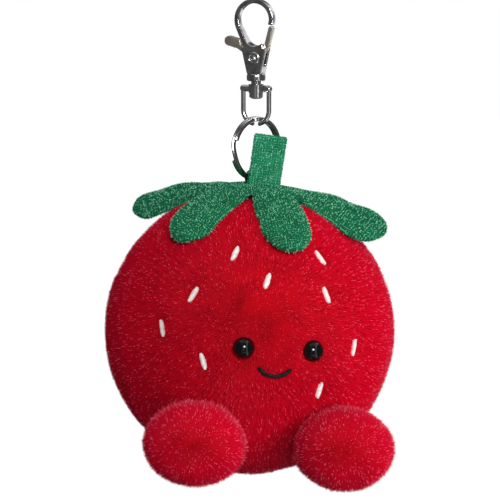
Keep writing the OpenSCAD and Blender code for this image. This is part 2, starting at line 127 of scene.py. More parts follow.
class Value:
    """A node's socket. Sums and products on it add Math nodes to its tree."""

    def __init__(self, nodes, socket):
        self.nodes = nodes
        self.socket = socket

    def math(self, operation, *terms):
        settings = {"operation": operation}
        return self.nodes.value("ShaderNodeMath", settings, dict(enumerate(terms)))

    def __add__(self, other):
        return self.math("ADD", self, other)

    def __radd__(self, other):
        return self.math("ADD", other, self)

    def __sub__(self, other):
        return self.math("SUBTRACT", self, other)

    def __rsub__(self, other):
        return self.math("SUBTRACT", other, self)

    def __mul__(self, other):
        return self.math("MULTIPLY", self, other)

    def __rmul__(self, other):
        return self.math("MULTIPLY", other, self)

    def __truediv__(self, other):
        return self.math("DIVIDE", self, other)

    def __rtruediv__(self, other):
        return self.math("DIVIDE", other, self)

    def __gt__(self, other):
        return self.math("GREATER_THAN", self, other)

    def sine(self):
        return self.math("SINE", self)

    def wave(self, pitch):
        """Rises and falls from 0 to 1 and back once in every pitch."""
        return (self * (math.pi / pitch)).sine().size()

    def size(self):
        return self.math("ABSOLUTE", self)

    def larger(self, other):
        return self.math("MAXIMUM", self, other)

    def step(self, low, high):
        """0 below low, 1 above high and smooth between."""
        settings = {"interpolation_type": "SMOOTHSTEP"}
        inputs = {"Value": self, "From Min": low, "From Max": high}
        return self.nodes.value("ShaderNodeMapRange", settings, inputs)


class Nodes:
    """Adds nodes to one tree, each from its type, its settings and its inputs."""

    def __init__(self, tree):
        self.tree = tree

    def node(self, kind, settings=None, inputs=None):
        made = self.tree.nodes.new(kind)
        for name, setting in (settings or {}).items():
            if name == "stops":
                self.set_stops(made.color_ramp, setting)
            else:
                setattr(made, name, setting)
        for name, value in (inputs or {}).items():
            self.feed(made.inputs[name], value)
        return made

    def set_stops(self, ramp, stops):
        while len(ramp.elements) < len(stops):
            ramp.elements.new(1)
        for element, (place, colour) in zip(ramp.elements, stops):
            element.position = place
            element.color = (*colour, 1)

    def feed(self, socket, value):
        if isinstance(value, Value):
            value = value.socket
        if isinstance(value, bpy.types.NodeSocket):
            self.tree.links.new(value, socket)
        elif socket.type == "RGBA" and len(value) == 3:
            socket.default_value = (*value, 1)
        else:
            socket.default_value = value

    def value(self, kind, settings=None, inputs=None, output=0):
        return Value(self, self.node(kind, settings, inputs).outputs[output])

    def vector(self, operation, *terms, output=0, **inputs):
        inputs = {**dict(enumerate(terms)), **inputs}
        return self.value("ShaderNodeVectorMath", {"operation": operation}, inputs, output)

    def mix(self, factor, first, second):
        inputs = {0: factor, 6: first, 7: second}
        return self.value("ShaderNodeMix", {"data_type": "RGBA"}, inputs, 2)

    def noise(self, place, size, detail=2, output="Fac"):
        """Noise whose lumps are about size metres across."""
        inputs = {"Vector": place, "Scale": 1 / size, "Detail": detail}
        return self.value("ShaderNodeTexNoise", {}, inputs, output)

    def ramp(self, factor, stops):
        return self.value("ShaderNodeValToRGB", {"stops": stops}, {"Fac": factor})

    def split(self, vector):
        """The three numbers of a vector."""
        parts = self.node("ShaderNodeSeparateXYZ", {}, {0: vector}).outputs
        return [Value(self, part) for part in parts]

    def joined(self, *parts):
        """A vector from its numbers, 0 where fewer than three are given."""
        return self.value("ShaderNodeCombineXYZ", {}, dict(enumerate(parts)))

    def given(self):
        """A geometry tree's inputs by name."""
        found = self.node("NodeGroupInput").outputs
        return {socket.name: Value(self, socket) for socket in found if socket.name}

    def read(self, name, kind="FLOAT"):
        """An attribute's value at each point."""
        settings = {"data_type": kind}
        return self.value("GeometryNodeInputNamedAttribute", settings, {"Name": name})

    def keep(self, shape, name, value, kind="FLOAT", domain="POINT"):
        """A shape with a value kept on it as an attribute."""
        settings = {"data_type": kind, "domain": domain}
        inputs = {"Geometry": shape, "Name": name, "Value": value}
        return self.value("GeometryNodeStoreNamedAttribute", settings, inputs)

    def place_on(self, points, shape, rotation, scale, **more):
        """A copy of a shape at each point."""
        inputs = {"Points": points, "Instance": shape, "Rotation": rotation, "Scale": scale}
        return self.value("GeometryNodeInstanceOnPoints", {}, {**inputs, **more})

    def realised(self, shape):
        return self.value("GeometryNodeRealizeInstances", {}, {"Geometry": shape})

    def finished(self, shape, material, output):
        """Ends a geometry tree with its material and its one output."""
        inputs = {"Geometry": shape, "Material": material}
        made = self.value("GeometryNodeSetMaterial", {}, inputs)
        self.node("NodeGroupOutput", {}, {output: made})


class Finish(Nodes):
    """A material in the making, whose patterns read the piece's own places."""

    def __init__(self, name):
        self.material = bpy.data.materials.new(name)
        self.material.use_nodes = True
        super().__init__(self.material.node_tree)
        self.tree.nodes.clear()
        self.place = self.node("ShaderNodeTexCoord").outputs["Object"]

    def map(self, name):
        """The piece's own map of that name."""
        return self.value("ShaderNodeUVMap", {"uv_map": name})

    def bump(self, height, distance, strength=1.0):
        inputs = {"Height": height, "Distance": distance, "Strength": strength}
        return self.value("ShaderNodeBump", {}, inputs)

    def done(self, **inputs):
        inputs = {name.replace("_", " "): value for name, value in inputs.items()}
        shader = self.node("ShaderNodeBsdfPrincipled", {}, inputs)
        self.node("ShaderNodeOutputMaterial", {}, {"Surface": shader.outputs[0]})
        return self.material


# ----------------------------------------------------------------- materials


def plating(name, bright, dull, roughness, grain=0.25 * MM):
    """Bright plating with faint clouding, polishing marks and rubbed spots."""
    f = Finish(name)
    clouds = f.noise(f.place, 3 * MM, 3)
    marks = f.noise(f.place, grain, 4)
    colour = f.mix(clouds.step(0.35, 0.75), bright, dull)
    rough = roughness + 0.07 * clouds + 0.05 * marks
    return f.done(Base_Color=colour, Metallic=1.0, Roughness=rough,
                  Normal=f.bump(marks, 0.01 * MM, 0.35))


def drawn_wire(name, bright, dull):
    """Plated spring wire with fine marks along its drawing."""
    f = Finish(name)
    along = f.vector("MULTIPLY", f.place, (1, 1, 0.2))
    marks = f.noise(along, 0.18 * MM, 4)
    clouds = f.noise(f.place, 2 * MM, 2)
    colour = f.mix(marks.step(0.3, 0.8), bright, dull)
    return f.done(Base_Color=colour, Metallic=1.0, Roughness=0.12 + 0.16 * marks * clouds,
                  Normal=f.bump(marks, 0.01 * MM, 0.5))


def backing_cloth(name, deep, light):
    """Knitted ground of a plush, seen between the roots of its pile."""
    f = Finish(name)
    patches = f.noise(f.place, 5 * MM, 3)
    loops = f.value("ShaderNodeTexVoronoi", {}, {"Vector": f.place, "Scale": 1 / (0.5 * MM)})
    colour = f.mix(patches.step(0.3, 0.7), deep, light)
    return f.done(Base_Color=colour, Roughness=0.92, Specular_IOR_Level=0.15,
                  Sheen_Weight=0.25, Sheen_Roughness=0.5, Sheen_Tint=(*light, 1),
                  Normal=f.bump(loops, 0.12 * MM, 0.6))


def pile_fibre(name, root, body, tip, pale, sheen=0.6, glint_height=0.6):
    """Fibres darker at the root, a painted shade deep in the pile, and lighter at the tip; a few
    have pale tips, a painted highlight standing in for glints.
    """
    f = Finish(name)
    tint, height, _ = f.split(f.map(BAKE_MAP))
    # The ramp's darker root colour is painted shade among the fibres
    shade = f.ramp(height, [(0, root), (0.45, body), (1, tip)])
    varied = f.mix((tint * 17.3).sine() * 0.18 + 0.18, shade, root)
    # Pale tips on a few fibres are a painted highlight standing in for glints
    glint = (tint > 0.9) * height.step(glint_height, glint_height + 0.3)
    return f.done(Base_Color=f.mix(glint, varied, pale), Roughness=0.7 - 0.2 * glint,
                  Specular_IOR_Level=0.1, Sheen_Weight=sheen, Sheen_Roughness=0.3,
                  Sheen_Tint=(*pale, 1))


def knitted(name, deep, light, line):
    """Short knitted plush with a fine net of pale lines."""
    f = Finish(name)
    knit = f.value("ShaderNodeAttribute", {"attribute_name": "knit"}, {}, "Vector")
    across, along, _ = f.split(knit)
    net = across.wave(KNIT_PITCH).larger(along.wave(KNIT_PITCH))
    fuzz = f.noise(f.place, 0.35 * MM, 3)
    colour = f.mix(f.noise(f.place, 4 * MM, 2).step(0.3, 0.7), deep, light)
    colour = f.mix(net.step(0.93, 1) * fuzz.step(0.45, 0.6), colour, line)
    return f.done(Base_Color=colour, Roughness=0.8, Specular_IOR_Level=0.2,
                  Sheen_Weight=0.3, Sheen_Roughness=0.4, Sheen_Tint=(*light, 1),
                  Normal=f.bump(net * 0.7 + fuzz * 0.6, 0.16 * MM, 0.8))


def woven_tape(name, deep, light):
    """Tape woven in a fine herringbone."""
    f = Finish(name)
    along, across, _ = f.split(f.map("tape"))
    along = along * (2 * math.pi / (0.6 * MM))
    weave = (along + across.wave(0.6 * MM) * 3).sine() * 0.5 + 0.5
    fuzz = f.noise(f.place, 0.2 * MM, 3)
    return f.done(Base_Color=f.mix(weave * 0.7 + fuzz * 0.3, deep, light), Roughness=0.85,
                  Specular_IOR_Level=0.2, Normal=f.bump(weave + fuzz * 0.4, 0.1 * MM, 0.8))


def thread(name, deep, light, roughness=0.5, sheen=0.2):
    """Twisted embroidery thread, its filaments running with the stitch."""
    f = Finish(name)
    along, around, _ = f.split(f.map("thread"))
    twist = (along * 9 + around * 12.6).sine()
    fuzz = f.noise(f.place, 0.15 * MM, 2)
    # The twist's lighter and darker bands are painted light and shade on the plies' ridges and
    # grooves
    shade = twist * 0.3 + fuzz * 0.4 + 0.3
    return f.done(Base_Color=f.mix(shade, deep, light), Roughness=roughness + 0.1 * fuzz,
                  Specular_IOR_Level=0.3, Sheen_Weight=sheen,
                  Normal=f.bump(twist * 0.6 + fuzz, 0.04 * MM, 0.7))


def polished_bead(name):
    """Black moulded bead with a clear polish and a little dust."""
    f = Finish(name)
    dust = f.noise(f.place, 0.2 * MM, 3).step(0.66, 0.8)
    haze = f.noise(f.place, 1.5 * MM, 2)
    colour = f.mix(dust * 0.4, screen_colour(4, 8, 9), screen_colour(40, 42, 42))
    return f.done(Base_Color=colour, Roughness=0.045 + 0.05 * haze + 0.25 * dust,
                  IOR=1.5, Specular_IOR_Level=0.4)


def moulded_plastic(name, colour, shade):
    """Plain moulded plastic, slightly clouded and pitted."""
    f = Finish(name)
    clouds = f.noise(f.place, 1.5 * MM, 3)
    pits = f.noise(f.place, 0.15 * MM, 3)
    return f.done(Base_Color=f.mix(clouds.step(0.3, 0.7), colour, shade),
                  Roughness=0.4 + 0.2 * clouds, Normal=f.bump(pits, 0.02 * MM, 0.5))


def wadding(name):
    """White fibre fill, matted and lumpy."""
    f = Finish(name)
    lumps = f.noise(f.place, 4 * MM, 4)
    strands = f.noise(f.vector("MULTIPLY", f.place, (1, 1, 4)), 0.6 * MM, 4)
    colour = f.mix(lumps.step(0.3, 0.7), screen_colour(235, 235, 232), screen_colour(205, 205, 203))
    return f.done(Base_Color=colour, Roughness=0.95, Specular_IOR_Level=0.1,
                  Sheen_Weight=0.3, Normal=f.bump(lumps + strands * 0.5, 0.5 * MM, 0.8))


def calico(name):
    """Thin plain-woven bag cloth."""
    f = Finish(name)
    across, _, along = f.split(f.place)
    yarn = math.pi / (0.5 * MM)
    weave = (across * yarn).sine() * (along * yarn).sine() * 0.5 + 0.5
    colour = f.mix(weave, screen_colour(214, 204, 184), screen_colour(188, 176, 152))
    return f.done(Base_Color=colour, Roughness=0.9, Specular_IOR_Level=0.15,
                  Normal=f.bump(weave, 0.1 * MM, 0.7))


def make_finishes():
    """Every finish by its short name."""
    return {
        "chrome": plating("nickel_chrome", (0.72, 0.72, 0.73), (0.5, 0.5, 0.51), 0.07),
        "cast": plating("cast_nickel", (0.66, 0.65, 0.66), (0.34, 0.33, 0.34), 0.1, 0.5 * MM),
        "gate": plating("gate_nickel", (0.82, 0.74, 0.63), (0.6, 0.53, 0.45), 0.26),
        "spring": drawn_wire("spring_wire", (0.6, 0.6, 0.62), (0.34, 0.34, 0.36)),
        "ring": drawn_wire("ring_wire", (0.66, 0.65, 0.64), (0.36, 0.35, 0.34)),
        "red_ground": backing_cloth("red_ground", screen_colour(130, 0, 10), screen_colour(168, 0, 16)),
        # Each pile's darker root colour is painted shade, and its last colour is a painted
        # highlight for its glinting tips, also used as its sheen tint
        "red_pile": pile_fibre("red_pile", screen_colour(164, 0, 20), screen_colour(196, 0, 28),
                               screen_colour(226, 6, 54), screen_colour(255, 120, 150)),
        "foot_pile": pile_fibre("foot_pile", screen_colour(158, 0, 20), screen_colour(188, 0, 28),
                                screen_colour(230, 12, 62), screen_colour(255, 140, 164)),
        "leaf": knitted("leaf_knit", screen_colour(4, 70, 44), screen_colour(10, 96, 62), screen_colour(90, 190, 140)),
        "lining": knitted("lining_knit", screen_colour(4, 56, 36), screen_colour(8, 76, 50), screen_colour(70, 150, 110)),
        "leaf_pile": pile_fibre("leaf_pile", screen_colour(4, 76, 50), screen_colour(8, 108, 71),
                                screen_colour(18, 130, 88), screen_colour(140, 224, 180), 0.2, 0.1),
        "stem": knitted("stem_knit", screen_colour(10, 92, 60), screen_colour(22, 124, 84), screen_colour(110, 190, 150)),
        "stem_pile": pile_fibre("stem_pile", screen_colour(12, 104, 70), screen_colour(22, 138, 96),
                                screen_colour(46, 164, 122), screen_colour(180, 240, 214), 0.2, 0.1),
        "tape": woven_tape("green_tape", screen_colour(14, 84, 54), screen_colour(34, 122, 84)),
        "red_thread": thread("red_thread", screen_colour(96, 2, 12), screen_colour(150, 12, 30)),
        "black_thread": thread("black_thread", screen_colour(2, 4, 4), screen_colour(12, 18, 18), 0.42, 0.0),
        "white_thread": thread("white_thread", screen_colour(206, 196, 194), screen_colour(250, 248, 246), 0.5),
        "bead": polished_bead("black_bead"),
        "washer": moulded_plastic("washer_plastic", screen_colour(228, 228, 226), screen_colour(205, 205, 200)),
        "pellet": moulded_plastic("pellet_plastic", screen_colour(230, 228, 216), screen_colour(204, 202, 190)),
        "wadding": wadding("fibre_fill"),
        "calico": calico("bag_calico"),
    }


# ------------------------------------------------------------ mesh and places


def mesh_object(name, vertices, faces, finish=None, smooth=True):
    """A new piece from points and faces, its place in its mesh."""
    mesh = bpy.data.meshes.new(name)
    mesh.from_pydata([tuple(v) for v in vertices], [], faces)
    mesh.update()
    return object_of(mesh, name, finish, smooth)


def object_of(mesh, name, finish=None, smooth=True):
    """A new piece from a mesh."""
    piece = bpy.data.objects.new(name, mesh)
    bpy.context.scene.collection.objects.link(piece)
    mesh.name = name
    if finish is not None:
        mesh.materials.clear()
        mesh.materials.append(finish)
    mesh.polygons.foreach_set("use_smooth", [smooth] * len(mesh.polygons))
    return piece


def strip_faces(rows, columns, first=0):
    """The four-sided faces of a strip whose points run row by row."""
    corners = [(first + row * columns + column) for row in range(rows - 1)
               for column in range(columns - 1)]
    return [(a, a + 1, a + columns + 1, a + columns) for a in corners]


def unit_rows(vectors):
    """The same vectors, each of length 1."""
    return vectors / np.linalg.norm(vectors, axis=1, keepdims=True)


def points_of(piece):
    found = np.empty(len(piece.data.vertices) * 3)
    piece.data.vertices.foreach_get("co", found)
    return found.reshape(-1, 3)


def set_points(piece, points):
    piece.data.vertices.foreach_set("co", np.asarray(points, float).ravel())
    piece.data.update()


def baked(piece):
    """Turns a piece's live modifiers into its plain mesh."""
    bpy.context.view_layer.update()
    graph = bpy.context.evaluated_depsgraph_get()
    mesh = bpy.data.meshes.new_from_object(piece.evaluated_get(graph))
    piece.modifiers.clear()
    piece.data = mesh
    mesh.name = piece.name
    return piece


def subdivided(piece, levels):
    modifier = piece.modifiers.new("smoother", "SUBSURF")
    modifier.levels = levels
    modifier.render_levels = levels
    return baked(piece)


def tidied(piece, gap=0.002 * MM):
    """Merges doubled points and turns every face outwards."""
    shape = bmesh.new()
    shape.from_mesh(piece.data)
    bmesh.ops.remove_doubles(shape, verts=shape.verts, dist=gap)
    bmesh.ops.dissolve_degenerate(shape, edges=shape.edges, dist=gap / 4)
    bmesh.ops.recalc_face_normals(shape, faces=shape.faces)
    shape.to_mesh(piece.data)
    shape.free()
    piece.data.update()
    return piece


def smooth_step(low, high, value):
    """0 below low, 1 above high and smooth between."""
    t = np.clip((value - low) / (high - low), 0, 1)
    return t * t * (3 - 2 * t)


def lumps(points, size, seed):
    """Smooth noise from -1 to 1 at each point."""
    shift = Vector((seed * 3.7, seed * 1.9, seed * 5.3))
    return np.array([noise.noise(Vector(p) / size + shift) for p in points])


def float_attribute(piece, name, values):
    made = piece.data.attributes.new(name, "FLOAT", "POINT")
    made.data.foreach_set("value", np.asarray(values, np.float32))


def vector_attribute(piece, name, values):
    made = piece.data.attributes.new(name, "FLOAT_VECTOR", "POINT")
    made.data.foreach_set("vector", np.asarray(values, np.float32).ravel())


def joined_box(*nodes):
    """Lowest and highest corner of several CAD nodes."""
    boxes = [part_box(n) for n in nodes]
    low = Vector([min(b[0][k] for b in boxes) for k in range(3)])
    high = Vector([max(b[1][k] for b in boxes) for k in range(3)])
    return low, high


def run_tree(piece, tree, **inputs):
    """Grows a piece with a geometry tree, whose inputs are named with underscores."""
    modifier = piece.modifiers.new(tree.name, "NODES")
    modifier.node_group = tree
    for socket in tree.interface.items_tree:
        name = socket.name.replace(" ", "_")
        if socket.in_out == "INPUT" and name in inputs:
            modifier[socket.identifier] = inputs[name]
    return baked(piece)


def new_tree(name, output, inputs):
    """An empty geometry tree with its named inputs and one output."""
    tree = bpy.data.node_groups.new(name, "GeometryNodeTree")
    for socket, kind in inputs.items():
        tree.interface.new_socket(name=socket, in_out="INPUT", socket_type="NodeSocket" + kind)
    tree.interface.new_socket(name=output, in_out="OUTPUT", socket_type="NodeSocketGeometry")
    return tree


def points_object(name, places):
    """An object of loose points."""
    mesh = bpy.data.meshes.new(name)
    mesh.from_pydata([tuple(p) for p in places], [], [])
    return object_of(mesh, name)


def long_way(part):
    """A loose part's middle, and the direction in which it is longest."""
    middle = part.mean(0)
    spread = part - middle
    _, axes = np.linalg.eigh(spread.T @ spread)
    return middle, Vector(axes[:, 2])


def loose_parts(node):
    """The points of each separate solid in a CAD node."""
    shape = bmesh.new()
    shape.from_mesh(frame["nodes"][node].data)
    bmesh.ops.remove_doubles(shape, verts=shape.verts, dist=0.001 * MM)
    left = set(shape.verts)
    parts = []
    while left:
        todo = [left.pop()]
        part = []
        while todo:
            vertex = todo.pop()
            part.append(vertex.co.copy())
            for edge in vertex.link_edges:
                other = edge.other_vert(vertex)
                if other in left:
                    left.discard(other)
                    todo.append(other)
        parts.append(np.array(part))
    shape.free()
    return sorted(parts, key=lambda p: tuple(np.round(p.mean(0), 6)))


class Toy:
    """Where the stuffed ball is, how it leans, and places on it."""

    def __init__(self):
        skins = ("skin_front", "skin_back_left", "skin_back_right")
        low, high = joined_box(*skins)
        self.radius = (high.x - low.x) / 2
        core_low, core_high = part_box("body_stuffing")
        core_radius = (core_high.x - core_low.x) / 2
        self.centre = Vector(((core_low.x + core_high.x) / 2,
                              (core_low.y + core_high.y) / 2, core_low.z + core_radius))
        self.turn = Matrix.Rotation(math.radians(TOY_LEAN), 3, "Y")
        self.up = self.turn @ Vector((0, 0, 1))
        self.cloth_radius = self.radius + CLOTH_FULLNESS

    def out(self, azimuth, height):
        """Direction from the ball's centre to a place on its front, in degrees and metres."""
        rise = math.asin(height / self.radius)
        turn = math.radians(azimuth)
        flat = Vector((math.sin(turn), -math.cos(turn), 0)) * math.cos(rise)
        return self.turn @ (flat + Vector((0, 0, math.sin(rise))))

    def upright_at(self, out):
        """The direction up the ball's surface."""
        return (self.up - out * self.up.dot(out)).normalized()

    def local(self, points):
        """Points in the toy's own upright frame, from the ball's centre."""
        return (np.asarray(points) - np.array(self.centre)) @ np.array(self.turn)

    def world(self, points):
        return np.asarray(points) @ np.array(self.turn).T + np.array(self.centre)

    def reach(self, points):
        """Each point's distance from the ball's centre."""
        return np.linalg.norm(points - np.array(self.centre), axis=1)

    def pushed_out(self, points, rest):
        """Moves the points that are nearer the centre than rest out to it."""
        away = points - np.array(self.centre)
        reach = self.reach(points)
        inside = reach < rest
        points[inside] += away[inside] * (rest / reach[inside] - 1)[:, None]
        return points

    def foot_turn(self, side):
        """How a foot is turned: with the toy, and outwards."""
        return self.turn @ Matrix.Rotation(math.radians(FOOT_TURN * side), 3, "Z")


class Ground:
    """The cloth of a stuffed piece, which embroidery and pile stand on."""

    def __init__(self, piece):
        self.tree = BVHTree.FromPolygons([v.co for v in piece.data.vertices],
                                         [tuple(p.vertices) for p in piece.data.polygons])

    def under(self, centre, out):
        """The cloth's point in a direction from inside it, and its outward side."""
        place, normal, _, _ = self.tree.ray_cast(centre, out)
        return place, normal


# ------------------------------------------------------------- stuffed pieces


def ball(name, radii, divisions):
    """An even ball of triangles at the origin."""
    shape = bmesh.new()
    bmesh.ops.create_icosphere(shape, subdivisions=divisions, radius=1)
    mesh = bpy.data.meshes.new(name)
    shape.to_mesh(mesh)
    shape.free()
    piece = object_of(mesh, name)
    set_points(piece, points_of(piece) * np.array(radii))
    return piece


def puffed(piece, held, cap, pressure=4, frames=20):
    """Blows a cloth shell up between the points that are held, by simulation."""
    scene = bpy.context.scene
    start = points_of(piece)
    blank = bpy.data.objects.new("blank", piece.data.copy())
    scene.collection.objects.link(blank)
    group = blank.vertex_groups.new(name="held")
    for index, weight in enumerate(held):
        group.add([index], float(weight), "REPLACE")
    cloth = blank.modifiers.new("cloth", "CLOTH")
    cloth.settings.vertex_group_mass = "held"
    cloth.settings.use_pressure = True
    cloth.settings.uniform_pressure_force = pressure
    cloth.settings.effector_weights.gravity = 0
    cloth.settings.tension_stiffness = 8
    cloth.settings.compression_stiffness = 8
    cloth.settings.bending_stiffness = 0.3
    cloth.point_cache.frame_start = 1
    cloth.point_cache.frame_end = frames
    for moment in range(1, frames + 1):
        scene.frame_set(moment)
    graph = bpy.context.evaluated_depsgraph_get()
    mesh = bpy.data.meshes.new_from_object(blank.evaluated_get(graph))
    end = np.empty(len(mesh.vertices) * 3)
    mesh.vertices.foreach_get("co", end)
    move = end.reshape(-1, 3) - start
    size = np.linalg.norm(move, axis=1, keepdims=True)
    move *= np.minimum(1, cap / np.maximum(size, 1e-9))
    set_points(piece, start + move)
    bpy.data.objects.remove(blank)
    bpy.data.meshes.remove(mesh)
    scene.frame_set(1)
    return piece


def near(points, places, radius, soft):
    """1 within a radius of any of the places, fading to 0 over a soft margin."""
    found = np.full(len(points), 1e9)
    for place in places:
        found = np.minimum(found, np.linalg.norm(points - np.array(place), axis=1))
    return 1 - smooth_step(radius, radius + soft, found)


def seam_depth(toy, points):
    """How far each point is pulled in by the body's seams, from 0 to 1."""
    local = toy.local(points)
    flat = np.hypot(local[:, 0], local[:, 1])
    azimuth = np.degrees(np.arctan2(local[:, 0], -local[:, 1]))
    found = np.zeros(len(points))
    for seam in (FRONT_SPAN, -FRONT_SPAN, 180):
        turn = (azimuth - seam + 180) % 360 - 180
        away = np.abs(np.radians(turn)) * flat
        found = np.maximum(found, np.exp(-((away / SEAM_WIDTH) ** 2)) * (np.abs(turn) < 90))
    low = local[:, 2] < 0
    found = found * ~(low & (flat < BASE_RADIUS))
    ring = np.exp(-(((flat - BASE_RADIUS) / SEAM_WIDTH) ** 2)) * low
    return np.maximum(found, ring)


def make_body(toy, seeds, eyes, finish):
    """The body's plush cover: a stuffed ball that its stitches and eyes pull in."""
    cover = ball("body_cover", [toy.cloth_radius - 0.5 * MM] * 3, 5)
    points = points_of(cover)
    sag = points[:, 2] / toy.radius
    points[:, :2] *= (1 + 0.006 * (1 - sag ** 2) - 0.004 * sag)[:, None]
    points = toy.world(points)
    centre = np.array(toy.centre)
    out = unit_rows(points - centre)
    stitched = [centre + np.array(s["out"]) * toy.cloth_radius for s in seeds]
    beads = [centre + np.array(e) * toy.cloth_radius for e in eyes]
    dimple = near(points, stitched, 1.4 * MM, 5.5 * MM)
    socket = near(points, beads, 2.6 * MM, 5 * MM)
    top = near(points, [centre + np.array(toy.up) * toy.cloth_radius], 7 * MM, 9 * MM)
    pulled = dimple ** 1.6 * 0.95 * MM + socket ** 1.3 * 0.8 * MM + top * 0.5 * MM
    pulled = pulled + seam_depth(toy, points) * 0.55 * MM
    pulled = pulled - lumps(points, 17 * MM, 1) * 0.45 * MM - lumps(points, 7 * MM, 2) * 0.16 * MM
    set_points(cover, points - out * pulled[:, None])
    held = np.maximum.reduce([dimple ** 2, socket ** 2, top])
    puffed(cover, held, 0.5 * MM)
    cover.data.materials.append(finish)
    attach(cover, "toy")
    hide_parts("skin_front", "skin_back_left", "skin_back_right", "skin_base")
    return cover


def make_foot(toy, side, finish):
    """One foot: a sole and an upper sewn round the edge, filled and sewn to the body."""
    name = "left" if side < 0 else "right"
    low, high = joined_box("foot_sole_" + name, "foot_upper_" + name)
    place = (low + high) / 2
    width = (high.x - low.x) / 2 - 1.3 * MM
    tall = (high.z - low.z) / 2 - 1.1 * MM
    sole_low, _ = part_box("foot_sole_" + name)
    deep = FOOT_DEPTH - 1.0 * MM
    place.y = sole_low.y + FOOT_DEPTH
    cover = ball("foot_cover_" + name, (width, deep, tall), 5)
    points = points_of(cover)
    seam = np.exp(-((points[:, 1] / SEAM_WIDTH) ** 2))
    flatter = np.clip(-points[:, 1] / deep, 0, 1) ** 2
    points[:, 1] += flatter * 1.1 * MM
    rim = np.hypot(points[:, 0] / width, points[:, 2] / tall)
    points[:, 0] *= 1 + 0.02 * flatter * rim
    points = points @ np.array(toy.foot_turn(side)).T + np.array(place)
    out = unit_rows(points - np.array(place))
    bulge = lumps(points, 9 * MM, 5 + side) * 0.5 * MM - seam * 0.6 * MM
    points = points + out * bulge[:, None]
    set_points(cover, points)
    against = 1 - smooth_step(toy.radius - 1 * MM, toy.radius + 1.5 * MM, toy.reach(points))
    puffed(cover, np.maximum(against, seam), 0.7 * MM)
    set_points(cover, toy.pushed_out(points_of(cover), toy.cloth_radius + 0.35 * MM))
    cover.data.materials.append(finish)
    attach(cover, "toy")
    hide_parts("foot_sole_" + name, "foot_upper_" + name)
    return cover, place


# ----------------------------------------------------------------------- pile


def fibre_shape(g):
    """One fibre: a three-sided spike, its height kept for its colour."""
    spike = g.value("GeometryNodeMeshCone", {"fill_type": "NGON"}, {
        "Vertices": 3, "Side Segments": 1, "Fill Segments": 1,
        "Radius Top": 0.0, "Radius Bottom": 0.5, "Depth": 1.0}, "Mesh")
    side, _, height = g.split(g.node("GeometryNodeInputPosition").outputs[0])
    return g.keep(g.keep(spike, "height", height), "side", side)


def stitch_clearance(g, stitches, place):
    """Distance from the nearest stitch or bead that presses the pile down."""
    stitches = g.value("GeometryNodeObjectInfo", {"transform_space": "ORIGINAL"},
                       {"Object": stitches}, "Geometry")
    nearest = g.value("GeometryNodeSampleNearest", {"domain": "POINT"},
                      {"Geometry": stitches, "Sample Position": place})
    clear = g.value("GeometryNodeSampleIndex", {"data_type": "FLOAT", "domain": "POINT"},
                    {"Geometry": stitches, "Value": g.read("radius"), "Index": nearest})
    at = g.value("GeometryNodeSampleIndex", {"data_type": "FLOAT_VECTOR", "domain": "POINT"},
                 {"Geometry": stitches, "Value": place, "Index": nearest})
    return g.vector("DISTANCE", place, at, output="Value") - clear


def pile_direction(g, given, place, out):
    """The way a fibre points: out of the cloth, combed, tufted and a little astray."""
    tufts = g.noise(place, given["Tuft size"], 2, "Color")
    tufts = g.vector("SUBTRACT", tufts, (0.5, 0.5, 0.5))
    tufts = g.vector("SCALE", tufts, Scale=given["Tangle"] * 2)
    stray = g.value("FunctionNodeRandomValue", {"data_type": "FLOAT_VECTOR"}, {
        0: (-1, -1, -1), 1: (1, 1, 1), "Seed": given["Seed"]})
    stray = g.vector("SCALE", stray, Scale=given["Tangle"] * 0.55)
    lean = g.vector("SCALE", g.read("comb", "FLOAT_VECTOR"), Scale=given["Lean"])
    return g.vector("ADD", g.vector("ADD", out, lean), g.vector("ADD", tufts, stray))


def soft_shading(g, pile, softness):
    """Turns the fibres' shading towards that of the cloth they stand on."""
    soft = g.vector("SCALE", g.read("ground", "FLOAT_VECTOR"), Scale=softness)
    soft = g.vector("ADD", soft, g.node("GeometryNodeInputNormal").outputs[0])
    soft = g.vector("NORMALIZE", soft)
    return g.value("GeometryNodeSetMeshNormal", {"mode": "FREE", "domain": "CORNER"}, {
        "Mesh": pile, "Custom Normal": soft})


